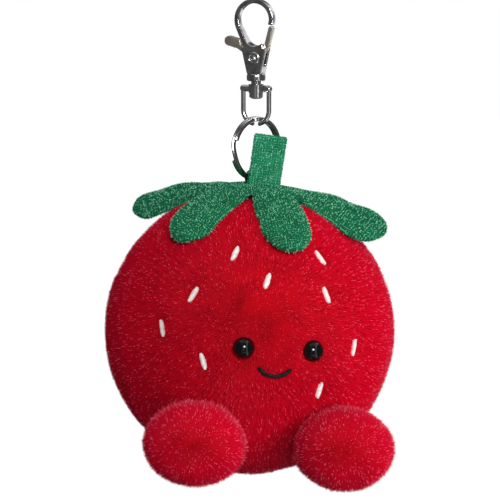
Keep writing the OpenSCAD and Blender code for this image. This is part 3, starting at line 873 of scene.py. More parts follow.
def pile_tree():
    """Geometry nodes that grow a plush's pile on its cloth, as closed tapered fibres."""
    tree = new_tree("pile", "Pile", {
        "Cloth": "Geometry", "Stitches": "Object", "Fibres per square metre": "Float",
        "Length": "Float", "Width": "Float", "Lean": "Float", "Tangle": "Float",
        "Tuft size": "Float", "Net": "Float", "Glints": "Float", "Softness": "Float",
        "Seed": "Int", "Fibre": "Material"})
    g = Nodes(tree)
    given = g.given()
    spread = g.node("GeometryNodeDistributePointsOnFaces", {"distribute_method": "RANDOM"}, {
        "Mesh": given["Cloth"], "Seed": given["Seed"],
        "Density": given["Fibres per square metre"]}).outputs
    place = g.node("GeometryNodeInputPosition").outputs[0]
    out = Value(g, spread["Normal"])
    free = stitch_clearance(g, given["Stitches"], place).step(0.0, 1.5 * MM)
    grown = g.read("grown")
    aim = pile_direction(g, given, place, out)
    turn = g.value("FunctionNodeAlignRotationToVector", {"axis": "Z"}, {"Vector": aim})

    # The knitted net, where there is one, shows as rows of longer fibres, more of them with pale
    # tips painted as highlights
    across, along, _ = g.split(g.read("knit", "FLOAT_VECTOR"))
    net = across.wave(KNIT_PITCH).larger(along.wave(KNIT_PITCH)).step(0.9, 0.99) * given["Net"]

    # Each fibre has its own length and tint, and a few are wide, with pale tips that are a
    # painted highlight standing in for glints
    chance = g.value("FunctionNodeRandomValue", {"data_type": "FLOAT"}, {
        2: 0.68, 3: 1.12, "Seed": given["Seed"] + 1}, 1)
    tint = g.value("FunctionNodeRandomValue", {"data_type": "FLOAT"}, {
        2: 0.0, 3: 1.0, "Seed": given["Seed"] + 2}, 1)
    long = given["Length"] * chance * grown * (0.35 + 0.65 * free) * (1 + 0.35 * net)
    glint = tint > 1 - given["Glints"] * (0.5 + net * 8)
    wide = given["Width"] * (1 + 1.5 * glint)
    shown = (free > 0.04) * (grown > 0.06)
    pile = g.place_on(Value(g, spread["Points"]), fibre_shape(g), turn,
                      g.joined(wide, wide, long * (1 + 0.12 * glint)), Selection=shown)
    tint = tint * 0.85 * (1 - glint) + 0.95 * glint
    pile = g.keep(pile, "tint", tint, "FLOAT", "INSTANCE")
    pile = g.keep(pile, "ground", out, "FLOAT_VECTOR", "INSTANCE")
    pile = soft_shading(g, g.realised(pile), given["Softness"])
    spot = g.joined(g.read("tint") * 0.94 + 0.03 + g.read("side") * 0.02,
                    g.read("height") * 0.96 + 0.02)
    pile = g.keep(pile, BAKE_MAP, spot, "FLOAT2", "CORNER")
    g.finished(pile, given["Fibre"], "Pile")
    return tree


class PileMaker:
    """Grows pile pieces on cloth with the one tree and each piece's own sizes."""

    def __init__(self, stitches):
        self.tree = pile_tree()
        self.stitches = stitches

    def grow(self, name, cloth, faces, slot, **sizes):
        """A piece of pile on the chosen faces of a cloth."""
        patch = bpy.data.objects.new(name, cloth.data.copy())
        bpy.context.scene.collection.objects.link(patch)
        shape = bmesh.new()
        shape.from_mesh(patch.data)
        shape.faces.ensure_lookup_table()
        unwanted = [f for f, keep in zip(shape.faces, faces) if not keep]
        bmesh.ops.delete(shape, geom=unwanted, context="FACES")
        shape.to_mesh(patch.data)
        shape.free()
        run_tree(patch, self.tree, Stitches=self.stitches, **sizes)
        for spare in ("height", "side", "tint", "ground", "grown", "comb", "knit"):
            if spare in patch.data.attributes:
                patch.data.attributes.remove(patch.data.attributes[spare])
        patch.data.uv_layers.active = patch.data.uv_layers[BAKE_MAP]
        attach(patch, "toy")
        return patch


def face_centres(piece):
    found = np.empty(len(piece.data.polygons) * 3)
    piece.data.polygons.foreach_get("center", found)
    return found.reshape(-1, 3)


def clearings(toy, ground, seeds, eyes, smile):
    """The points that press the pile down, each with the radius it clears."""
    places = []
    radii = []
    for seed in seeds:
        for share in np.linspace(-1, 1, 15):
            places.append(seed["place"] + seed["along"] * share * seed["half"] * 0.72)
            radii.append(seed["width"] * 0.3)
    for eye in eyes:
        place, _ = ground.under(toy.centre, eye)
        places.append(place)
        radii.append(3.0 * MM)
    for place in smile:
        places.append(Vector(place))
        radii.append(0.7 * MM)
    made = points_object("clearings", places)
    float_attribute(made, "radius", radii)
    return made


def body_pile(toy, cover, maker, finish, feet):
    """The body's pile, in a piece for each part of the front, back and base panels."""
    points = points_of(cover)
    local = toy.local(points)
    out = unit_rows(local)
    down = np.array([0, 0, -1]) - out * (out @ np.array([0, 0, -1]))[:, None]
    swirl = lumps(points, 22 * MM, 8)[:, None] * np.cross(out, down)
    vector_attribute(cover, "comb", (down + swirl) @ np.array(toy.turn).T)
    vector_attribute(cover, "knit", np.zeros((len(points), 3)))
    flat = np.hypot(local[:, 0], local[:, 1])
    above = local[:, 2] > 0
    covered = (1 - smooth_step(11 * MM, 25 * MM, flat)) * above
    grown = 1 - 0.85 * covered - 0.3 * seam_depth(toy, points)
    for _, place in feet:
        apart = np.linalg.norm((points - np.array(place)) / np.array([1, 1, 0.87]), axis=1)
        grown = grown * (0.12 + 0.88 * smooth_step(10 * MM, 15.2 * MM, apart))
    float_attribute(cover, "grown", np.clip(grown, 0, 1))
    centres = toy.local(face_centres(cover))
    height = centres[:, 2]
    azimuth = np.degrees(np.arctan2(centres[:, 0], -centres[:, 1]))
    in_base = (np.hypot(centres[:, 0], centres[:, 1]) < BASE_RADIUS) & (height < 0)
    front = (np.abs(azimuth) < FRONT_SPAN) & ~in_base
    right = (azimuth >= FRONT_SPAN) & ~in_base
    left = (azimuth <= -FRONT_SPAN) & ~in_base
    parts = {
        "front_pile_upper": front & (height >= 16 * MM),
        "front_pile_middle": front & (np.abs(height) < 16 * MM) & (azimuth < 0),
        "front_pile_side": front & (np.abs(height) < 16 * MM) & (azimuth >= 0),
        "front_pile_lower": front & (height <= -16 * MM),
        "back_left_pile_upper": left & (height >= 0),
        "back_left_pile_lower": left & (height < 0),
        "back_right_pile_upper": right & (height >= 0),
        "back_right_pile_lower": right & (height < 0),
        "base_pile": in_base,
    }
    for index, (name, faces) in enumerate(parts.items()):
        maker.grow(name, cover, faces, "red_plush", Fibres_per_square_metre=11e6,
                   Length=PILE_LENGTH, Width=0.18 * MM, Lean=0.1, Tangle=0.15,
                   Tuft_size=2.6 * MM, Net=0.0, Glints=0.07, Softness=2.0,
                   Seed=11 + index, Fibre=finish)


def foot_pile(toy, cover, place, side, maker, finish):
    """A foot's longer pile, combed outwards from the middle of its sole."""
    points = points_of(cover)
    forward = np.array(toy.foot_turn(side) @ Vector((0, -1, 0)))
    spoke = points - np.array(place)
    depth = spoke @ forward
    radial = spoke - depth[:, None] * forward
    away = np.linalg.norm(radial, axis=1, keepdims=True)
    comb = radial / np.maximum(away, 1e-6)
    on_sole = smooth_step(-2 * MM, 2 * MM, depth)[:, None]
    comb = comb * smooth_step(0, 4 * MM, away) * on_sole + (1 - on_sole) * forward * 0.5
    vector_attribute(cover, "comb", comb)
    vector_attribute(cover, "knit", np.zeros((len(points), 3)))
    grown = smooth_step(toy.radius - 0.2 * MM, toy.radius + 2.2 * MM, toy.reach(points))
    grown = grown * (0.66 + 0.34 * smooth_step(5 * MM, 12 * MM, away[:, 0]))
    float_attribute(cover, "grown", grown)
    outside = toy.reach(face_centres(cover)) > toy.radius - 0.2 * MM
    name = "left" if side < 0 else "right"
    maker.grow("foot_pile_" + name, cover, outside, "red_plush",
               Fibres_per_square_metre=19.5e6, Length=FOOT_PILE_LENGTH,
               Width=0.18 * MM, Lean=0.1, Tangle=0.18, Tuft_size=2.2 * MM, Net=0.0,
               Glints=0.08, Softness=2.0, Seed=31 + side, Fibre=finish)


# ----------------------------------------------------------------- embroidery


def tube(points, radius, sides, ups):
    """Vertices and faces of a closed tube along some points."""
    ahead = unit_rows(np.gradient(points, axis=0))
    side = unit_rows(np.cross(ahead, ups))
    up = np.cross(side, ahead)
    turns = np.linspace(0, 2 * math.pi, sides, endpoint=False)
    rings = [points[i] + radius[i] * (math.cos(t) * side[i] + math.sin(t) * up[i])
             for i in range(len(points)) for t in turns]
    faces = [(i * sides + j, i * sides + (j + 1) % sides,
              (i + 1) * sides + (j + 1) % sides, (i + 1) * sides + j)
             for i in range(len(points) - 1) for j in range(sides)]
    faces.append(tuple(range(sides))[::-1])
    faces.append(tuple((len(points) - 1) * sides + j for j in range(sides)))
    return np.array(rings), faces


def thread_map(piece, sides):
    """A map along and round a thread, for its twist."""
    layer = piece.data.uv_layers.new(name="thread")
    for loop in piece.data.loops:
        index = loop.vertex_index
        layer.data[loop.index].uv = (index // sides * 0.12, index % sides / sides)


def stitch_tree():
    """Geometry nodes that lay one arched stitch at each point of a row."""
    tree = new_tree("stitches", "Stitches", {
        "Places": "Geometry", "Thread width": "Float", "Rise": "Float", "Thread": "Material"})
    g = Nodes(tree)
    given = g.given()
    arch = g.value("GeometryNodeCurveArc", {}, {
        "Resolution": 7, "Radius": 0.5, "Start Angle": 0.0, "Sweep Angle": math.pi})
    arch = g.value("GeometryNodeTransform", {}, {
        "Geometry": arch, "Rotation": (math.pi / 2, 0, 0)})
    length = g.read("length")
    turn = g.value("FunctionNodeAxesToRotation", {"primary_axis": "X", "secondary_axis": "Z"}, {
        "Primary Axis": g.read("along", "FLOAT_VECTOR"),
        "Secondary Axis": g.read("out", "FLOAT_VECTOR")})
    laid = g.realised(g.place_on(given["Places"], arch, turn,
                                 g.joined(length, length, given["Rise"] * 2)))
    ring = g.value("GeometryNodeCurvePrimitiveCircle", {}, {
        "Resolution": STITCH_SIDES, "Radius": 1.0})
    ring = g.value("GeometryNodeTransform", {}, {
        "Geometry": ring,
        "Scale": g.joined(given["Thread width"], given["Thread width"], 1.0)})
    laid = g.value("GeometryNodeCurveToMesh", {}, {
        "Curve": laid, "Profile Curve": ring, "Fill Caps": True})
    g.finished(laid, given["Thread"], "Stitches")
    return tree


def lay_stitches(tree, name, places, along, out, length, width, rise, finish):
    """A piece of stitches, each at its place, along its direction."""
    piece = points_object(name, places)
    vector_attribute(piece, "along", along)
    vector_attribute(piece, "out", out)
    float_attribute(piece, "length", length)
    run_tree(piece, tree, Thread_width=width, Rise=rise, Thread=finish)
    piece.data.polygons.foreach_set("use_smooth", [True] * len(piece.data.polygons))
    thread_map(piece, STITCH_SIDES)
    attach(piece, "toy")
    return piece


def read_seeds(toy):
    """Each seed's direction, length and tilt, from the CAD's own seeds."""
    seeds = []
    for part in loose_parts("seed_embroidery"):
        middle, along = long_way(part)
        spread = part - middle
        out = (Vector(middle) - toy.centre).normalized()
        along = (along - out * along.dot(out)).normalized()
        if along.dot(toy.upright_at(out)) < 0:
            along = -along
        across = np.array(along.cross(out))
        seeds.append({
            "out": out, "along": along,
            "half": float(np.ptp(spread @ np.array(along))) / 2,
            "width": float(np.ptp(spread @ across)),
        })
    return seeds


def make_seeds(toy, ground, seeds, tree, finish):
    """Seeds in satin stitch: arched threads laid side by side."""
    places = []
    along = []
    out = []
    length = []
    for number, seed in enumerate(seeds):
        middle, _ = ground.under(toy.centre, seed["out"])
        middle = middle + seed["out"] * 0.12 * MM
        seed["place"] = middle
        across = seed["along"].cross(seed["out"])
        for k in range(SEED_THREADS):
            share = -1 + 2 * k / (SEED_THREADS - 1)
            wide = seed["width"] * (0.2 + 0.5 * math.sqrt(max(0, 1 - share * share)))
            wobble = 0.1 * math.sin(7.1 * k + 3.3 * number)
            places.append(middle + seed["along"] * share * seed["half"] * 0.88)
            slant = (across + seed["along"] * (0.14 + wobble)).normalized()
            along.append(slant)
            out.append(seed["out"])
            length.append(wide * (1 + wobble * 0.6))
    piece = lay_stitches(tree, "seed_stitches", places, along, out, length,
                         0.22 * MM, 0.75 * MM, finish)
    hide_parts("seed_embroidery")
    return piece


def make_closing(toy, ground, tree, finish):
    """The hand-sewn stitches that close the back seam."""
    places = []
    along = []
    out = []
    for part in loose_parts("closing_stitches"):
        middle, sewn = long_way(part)
        side = (Vector(middle) - toy.centre).normalized()
        place, _ = ground.under(toy.centre, side)
        places.append(place + side * 0.5 * MM)
        along.append(sewn)
        out.append(side)
    piece = lay_stitches(tree, "closing_thread", places, along, out, [3.4 * MM] * len(places),
                         0.3 * MM, 0.9 * MM, finish)
    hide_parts("closing_stitches")
    return piece


def smile_path(toy, ground):
    """Points of the smile's arc on the cloth."""
    out = toy.out(SMILE_TURN, SMILE_HEIGHT)
    up = toy.upright_at(out)
    right = up.cross(out)
    middle = toy.centre + out * toy.radius
    points = []
    for turn in np.radians(np.linspace(-SMILE_HALF_ARC, SMILE_HALF_ARC, 97)):
        spot = middle + (right * math.sin(turn) - up * math.cos(turn)) * SMILE_RADIUS
        side = (spot - toy.centre).normalized()
        place, _ = ground.under(toy.centre, side)
        points.append(place + side * 1.0 * MM)
    return np.array(points)


def make_smile(toy, path, finish):
    """The smile: a black cord of three twisted threads, its ends tucked in."""
    out = unit_rows(path - np.array(toy.centre))
    side = np.cross(unit_rows(np.gradient(path, axis=0)), out)
    length = np.linalg.norm(np.diff(path, axis=0), axis=1).sum()
    share = np.linspace(0, 1, len(path))
    narrow = np.minimum(1, 0.25 + np.minimum(share, 1 - share) * 16)
    vertices = []
    faces = []
    for strand in range(3):
        turn = share * length / (2.0 * MM) * 2 * math.pi + strand * 2 * math.pi / 3
        offset = (np.cos(turn)[:, None] * out + np.sin(turn)[:, None] * side) * 0.29 * MM
        line = path + offset * narrow[:, None]
        rings, quads = tube(line, 0.34 * MM * narrow, CORD_SIDES, out)
        faces += [tuple(len(vertices) + i for i in f) for f in quads]
        vertices += list(rings)
    piece = mesh_object("smile_cord", vertices, faces, finish)
    thread_map(piece, CORD_SIDES)
    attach(piece, "toy")
    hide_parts("smile_embroidery")
    return piece


# ------------------------------------------------------------- calyx and stem

# Each leaf's droop, twist, cupping and side bend, in metres at its tip
LEAF_SHAPES = [
    (-2.2 * MM, 0.4 * MM, 1.2 * MM, 0.0 * MM),
    (2.2 * MM, 4.6 * MM, 0.3 * MM, -1.6 * MM),
    (-0.6 * MM, 0.8 * MM, 1.0 * MM, 1.0 * MM),
    (-1.4 * MM, -0.8 * MM, 1.4 * MM, -1.2 * MM),
    (2.4 * MM, -4.4 * MM, 0.5 * MM, 1.6 * MM),
    (-2.7 * MM, -1.4 * MM, 1.0 * MM, 2.2 * MM),
]


def leaf_half_width(u):
    """Half a leaf's width, from its neck at 0 to its round tip at 1."""
    wide = LEAF_NECK + (LEAF_WIDTH / 2 - LEAF_NECK) * math.sin(math.pi / 2 * min(1, u / 0.5))
    return wide * math.sqrt(max(0, 1 - max(0, (u - 0.7) / 0.3) ** 2))


def make_calyx(toy, finish):
    """The calyx: two layers sewn edge to edge, six leaves drooping over the ball."""
    half = math.pi / LEAF_COUNT
    neck_reach = LEAF_NECK / math.tan(half)
    across = [math.sin(math.pi / 2 * k / 8) for k in range(-8, 9)]
    middle_rows = [neck_reach * k / 6 for k in range(7)]
    leaf_rows = [math.sin(math.pi / 2 * k / 30) for k in range(1, 31)]
    top = toy.radius + CALYX_RISE
    layers = ([], [])
    knit = []
    faces = []
    for leaf in range(LEAF_COUNT):
        droop, twist, cup, bend = LEAF_SHAPES[leaf]
        turn = math.radians(LEAF_TURN) + leaf * 2 * half
        first = len(layers[0])
        rows = [(y, y * math.tan(half), 0.0) for y in middle_rows]
        rows += [(neck_reach + u * (LEAF_REACH - neck_reach), leaf_half_width(u), u)
                 for u in leaf_rows]
        for y, wide, u in rows:
            for v in across:
                x = v * wide
                if u > 0:
                    edge = (1 - abs(v)) * wide
                else:
                    edge = math.hypot(abs(x) - LEAF_NECK, y - neck_reach)
                puff = math.sqrt(max(0, 1 - (1 - min(1, edge / (1.0 * MM))) ** 2))
                crown = min(1, edge / (5 * MM))
                thick = LEAF_THICKNESS * puff * (0.8 + 0.35 * crown)
                bent = x + bend * u ** 2
                flat_x = bent * math.cos(turn) + y * math.sin(turn)
                flat_y = bent * math.sin(turn) - y * math.cos(turn)
                flat = Vector((flat_x, flat_y, 0))
                rise = math.sqrt(DOME_RADIUS ** 2 - flat.length_squared)
                out = Vector((flat_x, flat_y, rise)).normalized()
                fold = 0.45 * MM * math.exp(-(x / (1.3 * MM)) ** 2) * u * (1 - u) * 4
                side = 2 * x / LEAF_WIDTH
                lift = droop * u ** 2 + twist * side * u - cup * side ** 2 * u ** 0.8 - fold
                far = y / LEAF_REACH
                crease = noise.noise(Vector((flat_x, flat_y, 0)) / (6 * MM))
                lift += crease * 0.7 * MM * (0.4 + far)
                centre = Vector((flat_x, flat_y, top - DOME_RADIUS + rise)) + out * lift
                centre -= out * (LEAF_THICKNESS * 0.5)
                layers[0].append(centre + out * thick * 0.55)
                layers[1].append(centre - out * thick * 0.45)
                knit.append((x, y, 0))
        faces += strip_faces(len(rows), len(across), first)
    count = len(layers[0])
    both = toy.world(layers[0] + layers[1])
    under = [tuple(count + i for i in f[::-1]) for f in faces]
    piece = mesh_object("calyx", both, [f[::-1] for f in faces] + [f[::-1] for f in under],
                        finish["leaf"])
    piece.data.materials.append(finish["lining"])
    for face in piece.data.polygons:
        face.material_index = int(face.vertices[0] >= count)
    vector_attribute(piece, "knit", knit + knit)
    tidied(piece)
    subdivided(piece, 1)
    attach(piece, "toy")
    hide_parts("calyx_upper", "calyx_lining")
    return piece


def leaf_pile(toy, calyx, maker, finish):
    """Short pile on both sides of the calyx, in the rows of its knit."""
    points = points_of(calyx)
    local = toy.local(points)
    outwards = local * np.array([1, 1, 0])
    outwards /= np.maximum(np.linalg.norm(outwards, axis=1, keepdims=True), 1e-6)
    outwards[:, 2] = -0.4
    vector_attribute(calyx, "comb", outwards @ np.array(toy.turn).T)
    flat = np.hypot(local[:, 0], local[:, 1])
    float_attribute(calyx, "grown", 0.55 + 0.45 * smooth_step(8 * MM, 16 * MM, flat))
    upper = np.array([p.material_index == 0 for p in calyx.data.polygons])
    common = {"Length": 0.55 * MM, "Width": 0.12 * MM, "Lean": 0.4, "Tangle": 0.5,
              "Tuft_size": 1.2 * MM, "Net": 1.0, "Glints": 0.025, "Softness": 1.0,
              "Fibre": finish}
    maker.grow("calyx_pile_upper", calyx, upper, "green_plush",
               Fibres_per_square_metre=13e6, Seed=51, **common)
    maker.grow("calyx_pile_under", calyx, ~upper, "green_lining",
               Fibres_per_square_metre=9e6, Seed=52, **common)


def make_stem(toy, finish):
    """The stem: one strip folded over at its top, its back half a little askew."""
    low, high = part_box("stem")
    foot = toy.centre + toy.up * (toy.radius + CALYX_RISE - 0.6 * MM)
    front_y = low.y + 0.45 * MM
    back_y = high.y - 0.45 * MM
    tall = (high - foot).dot(toy.up) - 0.4 * MM
    radius = (back_y - front_y) / 2
    path = [(front_y, t, 0.0) for t in np.linspace(0, tall - radius, 16)]
    for turn in np.linspace(0.3, math.pi - 0.3, 6):
        path.append((front_y + radius * (1 - math.cos(turn)),
                     tall - radius + radius * math.sin(turn), turn / math.pi))
    path += [(back_y, t, 1.0) for t in np.linspace(tall - radius, 0, 16)]
    across = [math.sin(math.pi / 2 * k / 6) for k in range(-6, 7)]
    rows = []
    for y, height, share in path:
        lean = math.radians(3 + TOY_LEAN + 2.2 * share)
        for v in across:
            x = v * STEM_WIDTH / 2
            wave = noise.noise(Vector((x, height, share * 9 * MM)) / (5 * MM)) * 0.35 * MM
            start = Vector((foot.x + 0.3 * MM, y + wave, foot.z))
            rows.append(start + Vector((x * math.cos(lean) + height * math.sin(lean), 0,
                                        height * math.cos(lean) - x * math.sin(lean))))
    columns = len(across)
    lengths = np.concatenate([[0], np.cumsum(np.linalg.norm(
        np.diff(np.array(rows)[::columns], axis=0), axis=1))])
    piece = mesh_object("stem_strip", rows, strip_faces(len(path), columns), finish)
    knit = [(across[i % columns] * STEM_WIDTH / 2, lengths[i // columns], 0)
            for i in range(len(rows))]
    vector_attribute(piece, "knit", knit)
    solid = piece.modifiers.new("thickness", "SOLIDIFY")
    solid.thickness = STEM_THICKNESS
    solid.offset = 0
    rounded = piece.modifiers.new("rounding", "SUBSURF")
    rounded.levels = 2
    rounded.render_levels = 2
    baked(piece)
    tidied(piece)
    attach(piece, "toy")
    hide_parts("stem")
    return piece


def stem_pile(toy, stem, maker, finish):
    """The stem's short nap, rubbed off where it meets the calyx."""
    points = points_of(stem)
    vector_attribute(stem, "comb", np.tile(-np.array(toy.up), (len(points), 1)))
    low = points[:, 2].min()
    float_attribute(stem, "grown", smooth_step(low - 1 * MM, low + 2 * MM, points[:, 2]))
    every = np.ones(len(stem.data.polygons), bool)
    maker.grow("stem_pile", stem, every, "green_felt",
               Fibres_per_square_metre=15e6, Length=0.55 * MM, Width=0.12 * MM, Lean=0.6,
               Tangle=0.8, Tuft_size=0.9 * MM, Net=0.0, Glints=0.07, Softness=0.8,
               Seed=61, Fibre=finish)


def make_loop(finish):
    """The webbing loop: a tape doubled round the foot of the split ring."""
    pivot = Vector(next(j for j in frame["joints"] if j["name"] == "toy_swing")["pos_m"])
    low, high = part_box("webbing_loop")
    radius = high.z - pivot.z - TAPE_THICKNESS / 2
    apart = TAPE_THICKNESS * 0.52
    drop = pivot.z - low.z
    path = [(-apart, t) for t in np.linspace(-drop, -radius - 0.6 * MM, 8)]
    start = math.asin(min(1, TAPE_THICKNESS * 0.9 / radius))
    for turn in np.linspace(start, 2 * math.pi - start, 33):
        path.append((-radius * math.sin(turn), -radius * math.cos(turn)))
    path += [(apart, t) for t in np.linspace(-radius - 0.6 * MM, -drop, 8)]
    yaw = math.radians(RING_YAW)
    axis = Vector((math.cos(yaw), math.sin(yaw), 0))
    side = Vector((-math.sin(yaw), math.cos(yaw), 0))
    across = np.linspace(-0.5, 0.5, 7) * TAPE_WIDTH
    vertices = []
    spots = []
    gone = 0.0
    for index, (y, z) in enumerate(path):
        if index:
            gone += math.dist(path[index - 1], (y, z))
        for x in across:
            vertices.append(pivot + axis * x + side * y + Vector((0, 0, z)))
            spots.append((gone, x))
    faces = strip_faces(len(path), len(across))
    piece = mesh_object("webbing_tape", vertices, faces, finish)
    layer = piece.data.uv_layers.new(name="tape")
    for loop in piece.data.loops:
        layer.data[loop.index].uv = spots[loop.vertex_index]
    solid = piece.modifiers.new("thickness", "SOLIDIFY")
    solid.thickness = TAPE_THICKNESS
    solid.offset = 0
    rounded = piece.modifiers.new("rounding", "BEVEL")
    rounded.width = 0.15 * MM
    rounded.segments = 2
    rounded.limit_method = "ANGLE"
    baked(piece)
    tidied(piece)
    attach(piece, "toy")
    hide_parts("webbing_loop")
    return piece


# -------------------------------------------------------------- hidden pieces


def make_filling(toy, name, centre, radii, node, finish, turn=None):
    """Wadding that fills a cover, lumpy where its tufts meet."""
    piece = ball(name, radii, 4)
    points = points_of(piece)
    if turn is not None:
        points = points @ np.array(turn).T
    points = points + np.array(centre)
    out = unit_rows(points - np.array(centre))
    points = points + out * (lumps(points, 5 * MM, 3) * 0.5 * MM - 0.6 * MM)[:, None]
    if "foot" in name:
        points = toy.pushed_out(points, toy.cloth_radius + 1.6 * MM)
    set_points(piece, points)
    piece.data.materials.append(finish)
    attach(piece, "toy")
    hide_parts(node)
    return piece


def pellet_tree():
    """Geometry nodes that lay one lentil-shaped pellet at each point."""
    tree = new_tree("pellets", "Pellets", {
        "Places": "Geometry", "Pellet radius": "Float", "Seed": "Int", "Plastic": "Material"})
    g = Nodes(tree)
    given = g.given()
    one = g.value("GeometryNodeMeshIcoSphere", {}, {
        "Radius": given["Pellet radius"], "Subdivisions": 3}, "Mesh")
    one = g.value("GeometryNodeSetShadeSmooth", {}, {"Geometry": one})
    turn = g.value("FunctionNodeRandomValue", {"data_type": "FLOAT_VECTOR"}, {
        0: (0, 0, 0), 1: (6.3, 6.3, 6.3), "Seed": given["Seed"]})
    laid = g.realised(g.place_on(given["Places"], one, turn, (1.0, 1.0, 0.8)))
    g.finished(laid, given["Plastic"], "Pellets")
    return tree


def make_pellets(finish):
    """The weighting pellets in their bag."""
    parts = loose_parts("pellets")
    piece = points_object("loose_pellets", [p.mean(0) for p in parts])
    radius = float(np.ptp(parts[0][:, 0])) / 2
    run_tree(piece, pellet_tree(), Pellet_radius=radius, Seed=5, Plastic=finish)
    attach(piece, "toy")
    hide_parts("pellets")
    return piece


def make_bag(finish):
    """The pellet bag, gathered at its seam."""
    low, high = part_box("pellet_bag")
    centre = (low + high) / 2
    radius = (high.x - low.x) / 2
    piece = ball("pellet_pouch", [radius - 0.25 * MM] * 3, 4)
    points = points_of(piece)
    seam = np.exp(-((points[:, 2] / (0.9 * MM)) ** 2))
    turn = np.arctan2(points[:, 1], points[:, 0])
    gathers = np.sin(turn * 26) * np.exp(-((points[:, 2] / (3 * MM)) ** 2)) * 0.1 * MM
    points = points + unit_rows(points) * (gathers - seam * 0.15 * MM)[:, None] + np.array(centre)
    set_points(piece, points)
    piece.data.materials.append(finish)
    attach(piece, "toy")
    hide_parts("pellet_bag")
    return piece


# ------------------------------------------------------------- clasp and ring


def dress_node(node, finish, grain=None, passes=0):
    """Gives a CAD node its finish and, where it is cast, softly rounded edges."""
    piece = frame["nodes"][node]
    piece.data.materials.clear()
    piece.data.materials.append(finish)
    if grain is None:
        return
    weld = piece.modifiers.new("weld", "WELD")
    weld.merge_threshold = 0.002 * MM
    skin = piece.modifiers.new("even_skin", "REMESH")
    skin.mode = "VOXEL"
    skin.voxel_size = grain
    skin.use_smooth_shade = True
    rounded = piece.modifiers.new("rounded", "SMOOTH")
    rounded.factor = 0.5
    rounded.iterations = passes


def dress_hardware(finish):
    """The finishes of the CAD nodes whose own shapes stay."""
    dress_node("hook_body", finish["cast"], 0.14 * MM, 22)
    dress_node("gate_lever", finish["gate"], 0.12 * MM, 8)
    dress_node("gate_rivet", finish["chrome"])
    dress_node("gate_spring", finish["spring"])
    dress_node("swivel_pin", finish["chrome"])
    dress_node("shackle", finish["chrome"])
    dress_node("split_ring", finish["ring"])
    for side in ("left", "right"):
        dress_node("eye_" + side, finish["bead"])
        dress_node("eye_washer_" + side, finish["washer"])


# ------------------------------------------------------- camera, light, floor


def aim(thing, place, target):
    """Stands a camera or a light at a place and points it at its target."""
    thing.location = place
    thing.rotation_euler = (Vector(target) - Vector(place)).to_track_quat("-Z", "Y").to_euler()


def make_camera():
    """A long lens a little above and to the left of the toy's face."""
    azimuth = math.radians(CAMERA_AZIMUTH)
    elevation = math.radians(CAMERA_ELEVATION)
    back = Vector((math.sin(azimuth) * math.cos(elevation),
                   -math.cos(azimuth) * math.cos(elevation), math.sin(elevation)))
    right = Vector((math.cos(azimuth), math.sin(azimuth), 0))
    target = right * -VIEW_TO_LEFT + Vector((0, 0, cad_high.z - VIEW_BELOW_TOP))
    camera = bpy.data.objects.new("camera", bpy.data.cameras.new("camera"))
    camera.data.lens = CAMERA_LENS
    camera.data.sensor_width = CAMERA_SENSOR
    camera.data.clip_start = 0.05
    bpy.context.scene.collection.objects.link(camera)
    aim(camera, target + back * CAMERA_DISTANCE, target)
    bpy.context.scene.camera = camera
    return target, back, right


def area_light(name, target, place, size, power):
    """A round lamp at a place beside the target, its size in metres and power in watts."""
    light = bpy.data.lights.new(name, "AREA")
    light.shape = "DISK"
    light.size = size
    light.energy = power
    made = bpy.data.objects.new(name, light)
    bpy.context.scene.collection.objects.link(made)
    aim(made, Vector(target) + Vector(place), target)
    return made


def make_room(right, up):
    """White behind the toy, a soft room for its light, and bands for its metal to mirror."""
    world = bpy.data.worlds.new("studio")
    bpy.context.scene.world = world
    world.use_nodes = True
    w = Nodes(world.node_tree)
    w.tree.nodes.clear()
    path = w.node("ShaderNodeLightPath").outputs
    way = w.node("ShaderNodeTexCoord").outputs["Generated"]
    beside = w.vector("DOT_PRODUCT", way, tuple(right), output="Value")
    above = w.vector("DOT_PRODUCT", way, tuple(up), output="Value")
    leftwards = -1 * beside
    right_wall = beside.step(0.36, 0.44) * (1 - beside.step(0.58, 0.68))
    left_wall = leftwards.step(0.14, 0.2) * (1 - leftwards.step(0.3, 0.4))
    ceiling = above.step(0.72, 0.9)
    shine = 0.1 + right_wall * 1.1 + left_wall * 0.25 + ceiling * 0.45
    room = w.value("ShaderNodeBackground", {}, {"Color": (0.95, 0.96, 1.0), "Strength": 0.17})
    walls = w.value("ShaderNodeBackground", {}, {"Color": (1, 1, 1), "Strength": shine})
    white = w.value("ShaderNodeBackground", {}, {"Color": (1, 1, 1), "Strength": 1.0})
    lit = w.value("ShaderNodeMixShader", {}, {0: path["Is Glossy Ray"], 1: room, 2: walls})
    both = w.value("ShaderNodeMixShader", {}, {0: path["Is Camera Ray"], 1: lit, 2: white})
    w.node("ShaderNodeOutputWorld", {}, {0: both})


def make_floor():
    """A pale floor far below the hanging toy."""
    edge = FLOOR_REACH
    corners = [(x, y, FLOOR_HEIGHT)
               for x, y in ((-edge, -edge), (edge, -edge), (edge, edge), (-edge, edge))]
    floor = mesh_object("floor", corners, [(0, 1, 2, 3)])
    f = Finish("pale_floor")
    pale = f.mix(f.noise(f.place, 0.4, 2), (0.93, 0.93, 0.93), (0.96, 0.96, 0.96))
    floor.data.materials.append(f.done(Base_Color=pale, Roughness=0.9,
                                       Emission_Color=(1, 1, 1, 1), Emission_Strength=1.0))
    floor.visible_diffuse = False
    floor.visible_glossy = False


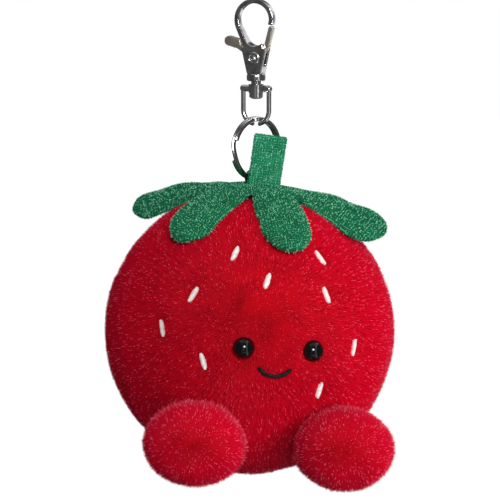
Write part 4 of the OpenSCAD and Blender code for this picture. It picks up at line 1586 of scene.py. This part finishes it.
def make_studio(target, back, right):
    """Soft light, mostly from the right, and two small lamps that glint in the beads."""
    up = back.cross(right)
    soft = [
        area_light("key", target, right * 0.58 - up * 0.06 + back * 0.62, 0.4, 3.6),
        area_light("rim", target, right * 0.85 - up * 0.12 - back * 0.22, 0.35, 2.6),
        area_light("top", target, up * 0.8 + back * 0.15, 0.4, 1.0),
        area_light("bounce", target, right * 0.2 - up * 0.75 + back * 0.25, 0.4, 2.0),
        area_light("fill", target, -right * 0.75 + back * 0.5, 0.5, 0.15),
    ]
    for light in soft:
        light.visible_glossy = False
    area_light("glint", target, back * 0.8 + up * 0.17 + right * 0.1, 0.28, 5.0)
    area_light("low_glint", target, back * 0.55 - up * 0.62 + right * 0.1, 0.12, 0.3)
    make_room(right, up)
    make_floor()
    view = bpy.context.scene.view_settings
    view.view_transform = "Standard"
    view.look = "None"


# ------------------------------------------------------------------- the toy


def build():
    """Makes the camera and lights, and then every piece of the toy."""
    target, back, right = make_camera()
    make_studio(target, back, right)
    finish = make_finishes()
    toy = Toy()
    sides = (-1, 1)
    seeds = read_seeds(toy)
    eyes = [toy.out(side * EYE_TURN, EYE_HEIGHT) for side in sides]
    cover = make_body(toy, seeds, eyes, finish["red_ground"])
    ground = Ground(cover)
    feet = [make_foot(toy, side, finish["red_ground"]) for side in sides]
    stitches = stitch_tree()
    make_seeds(toy, ground, seeds, stitches, finish["white_thread"])
    make_closing(toy, ground, stitches, finish["red_thread"])
    smile = smile_path(toy, ground)
    make_smile(toy, smile, finish["black_thread"])
    pressed = clearings(toy, ground, seeds, eyes, smile)
    maker = PileMaker(pressed)
    body_pile(toy, cover, maker, finish["red_pile"], feet)
    for (foot, place), side in zip(feet, sides):
        foot_pile(toy, foot, place, side, maker, finish["foot_pile"])
    calyx = make_calyx(toy, finish)
    leaf_pile(toy, calyx, maker, finish["leaf_pile"])
    stem = make_stem(toy, finish["stem"])
    stem_pile(toy, stem, maker, finish["stem_pile"])
    bpy.data.objects.remove(pressed)
    make_loop(finish["tape"])
    make_filling(toy, "body_filling", toy.centre, [toy.cloth_radius - 1 * MM] * 3,
                 "body_stuffing", finish["wadding"])
    for (_, place), side in zip(feet, sides):
        name = "left" if side < 0 else "right"
        make_filling(toy, "foot_filling_" + name, place, (12.6 * MM, 10.9 * MM, 10.4 * MM),
                     "foot_stuffing_" + name, finish["wadding"], toy.foot_turn(side))
    make_bag(finish["calico"])
    make_pellets(finish["pellet"])
    dress_hardware(finish)


build()
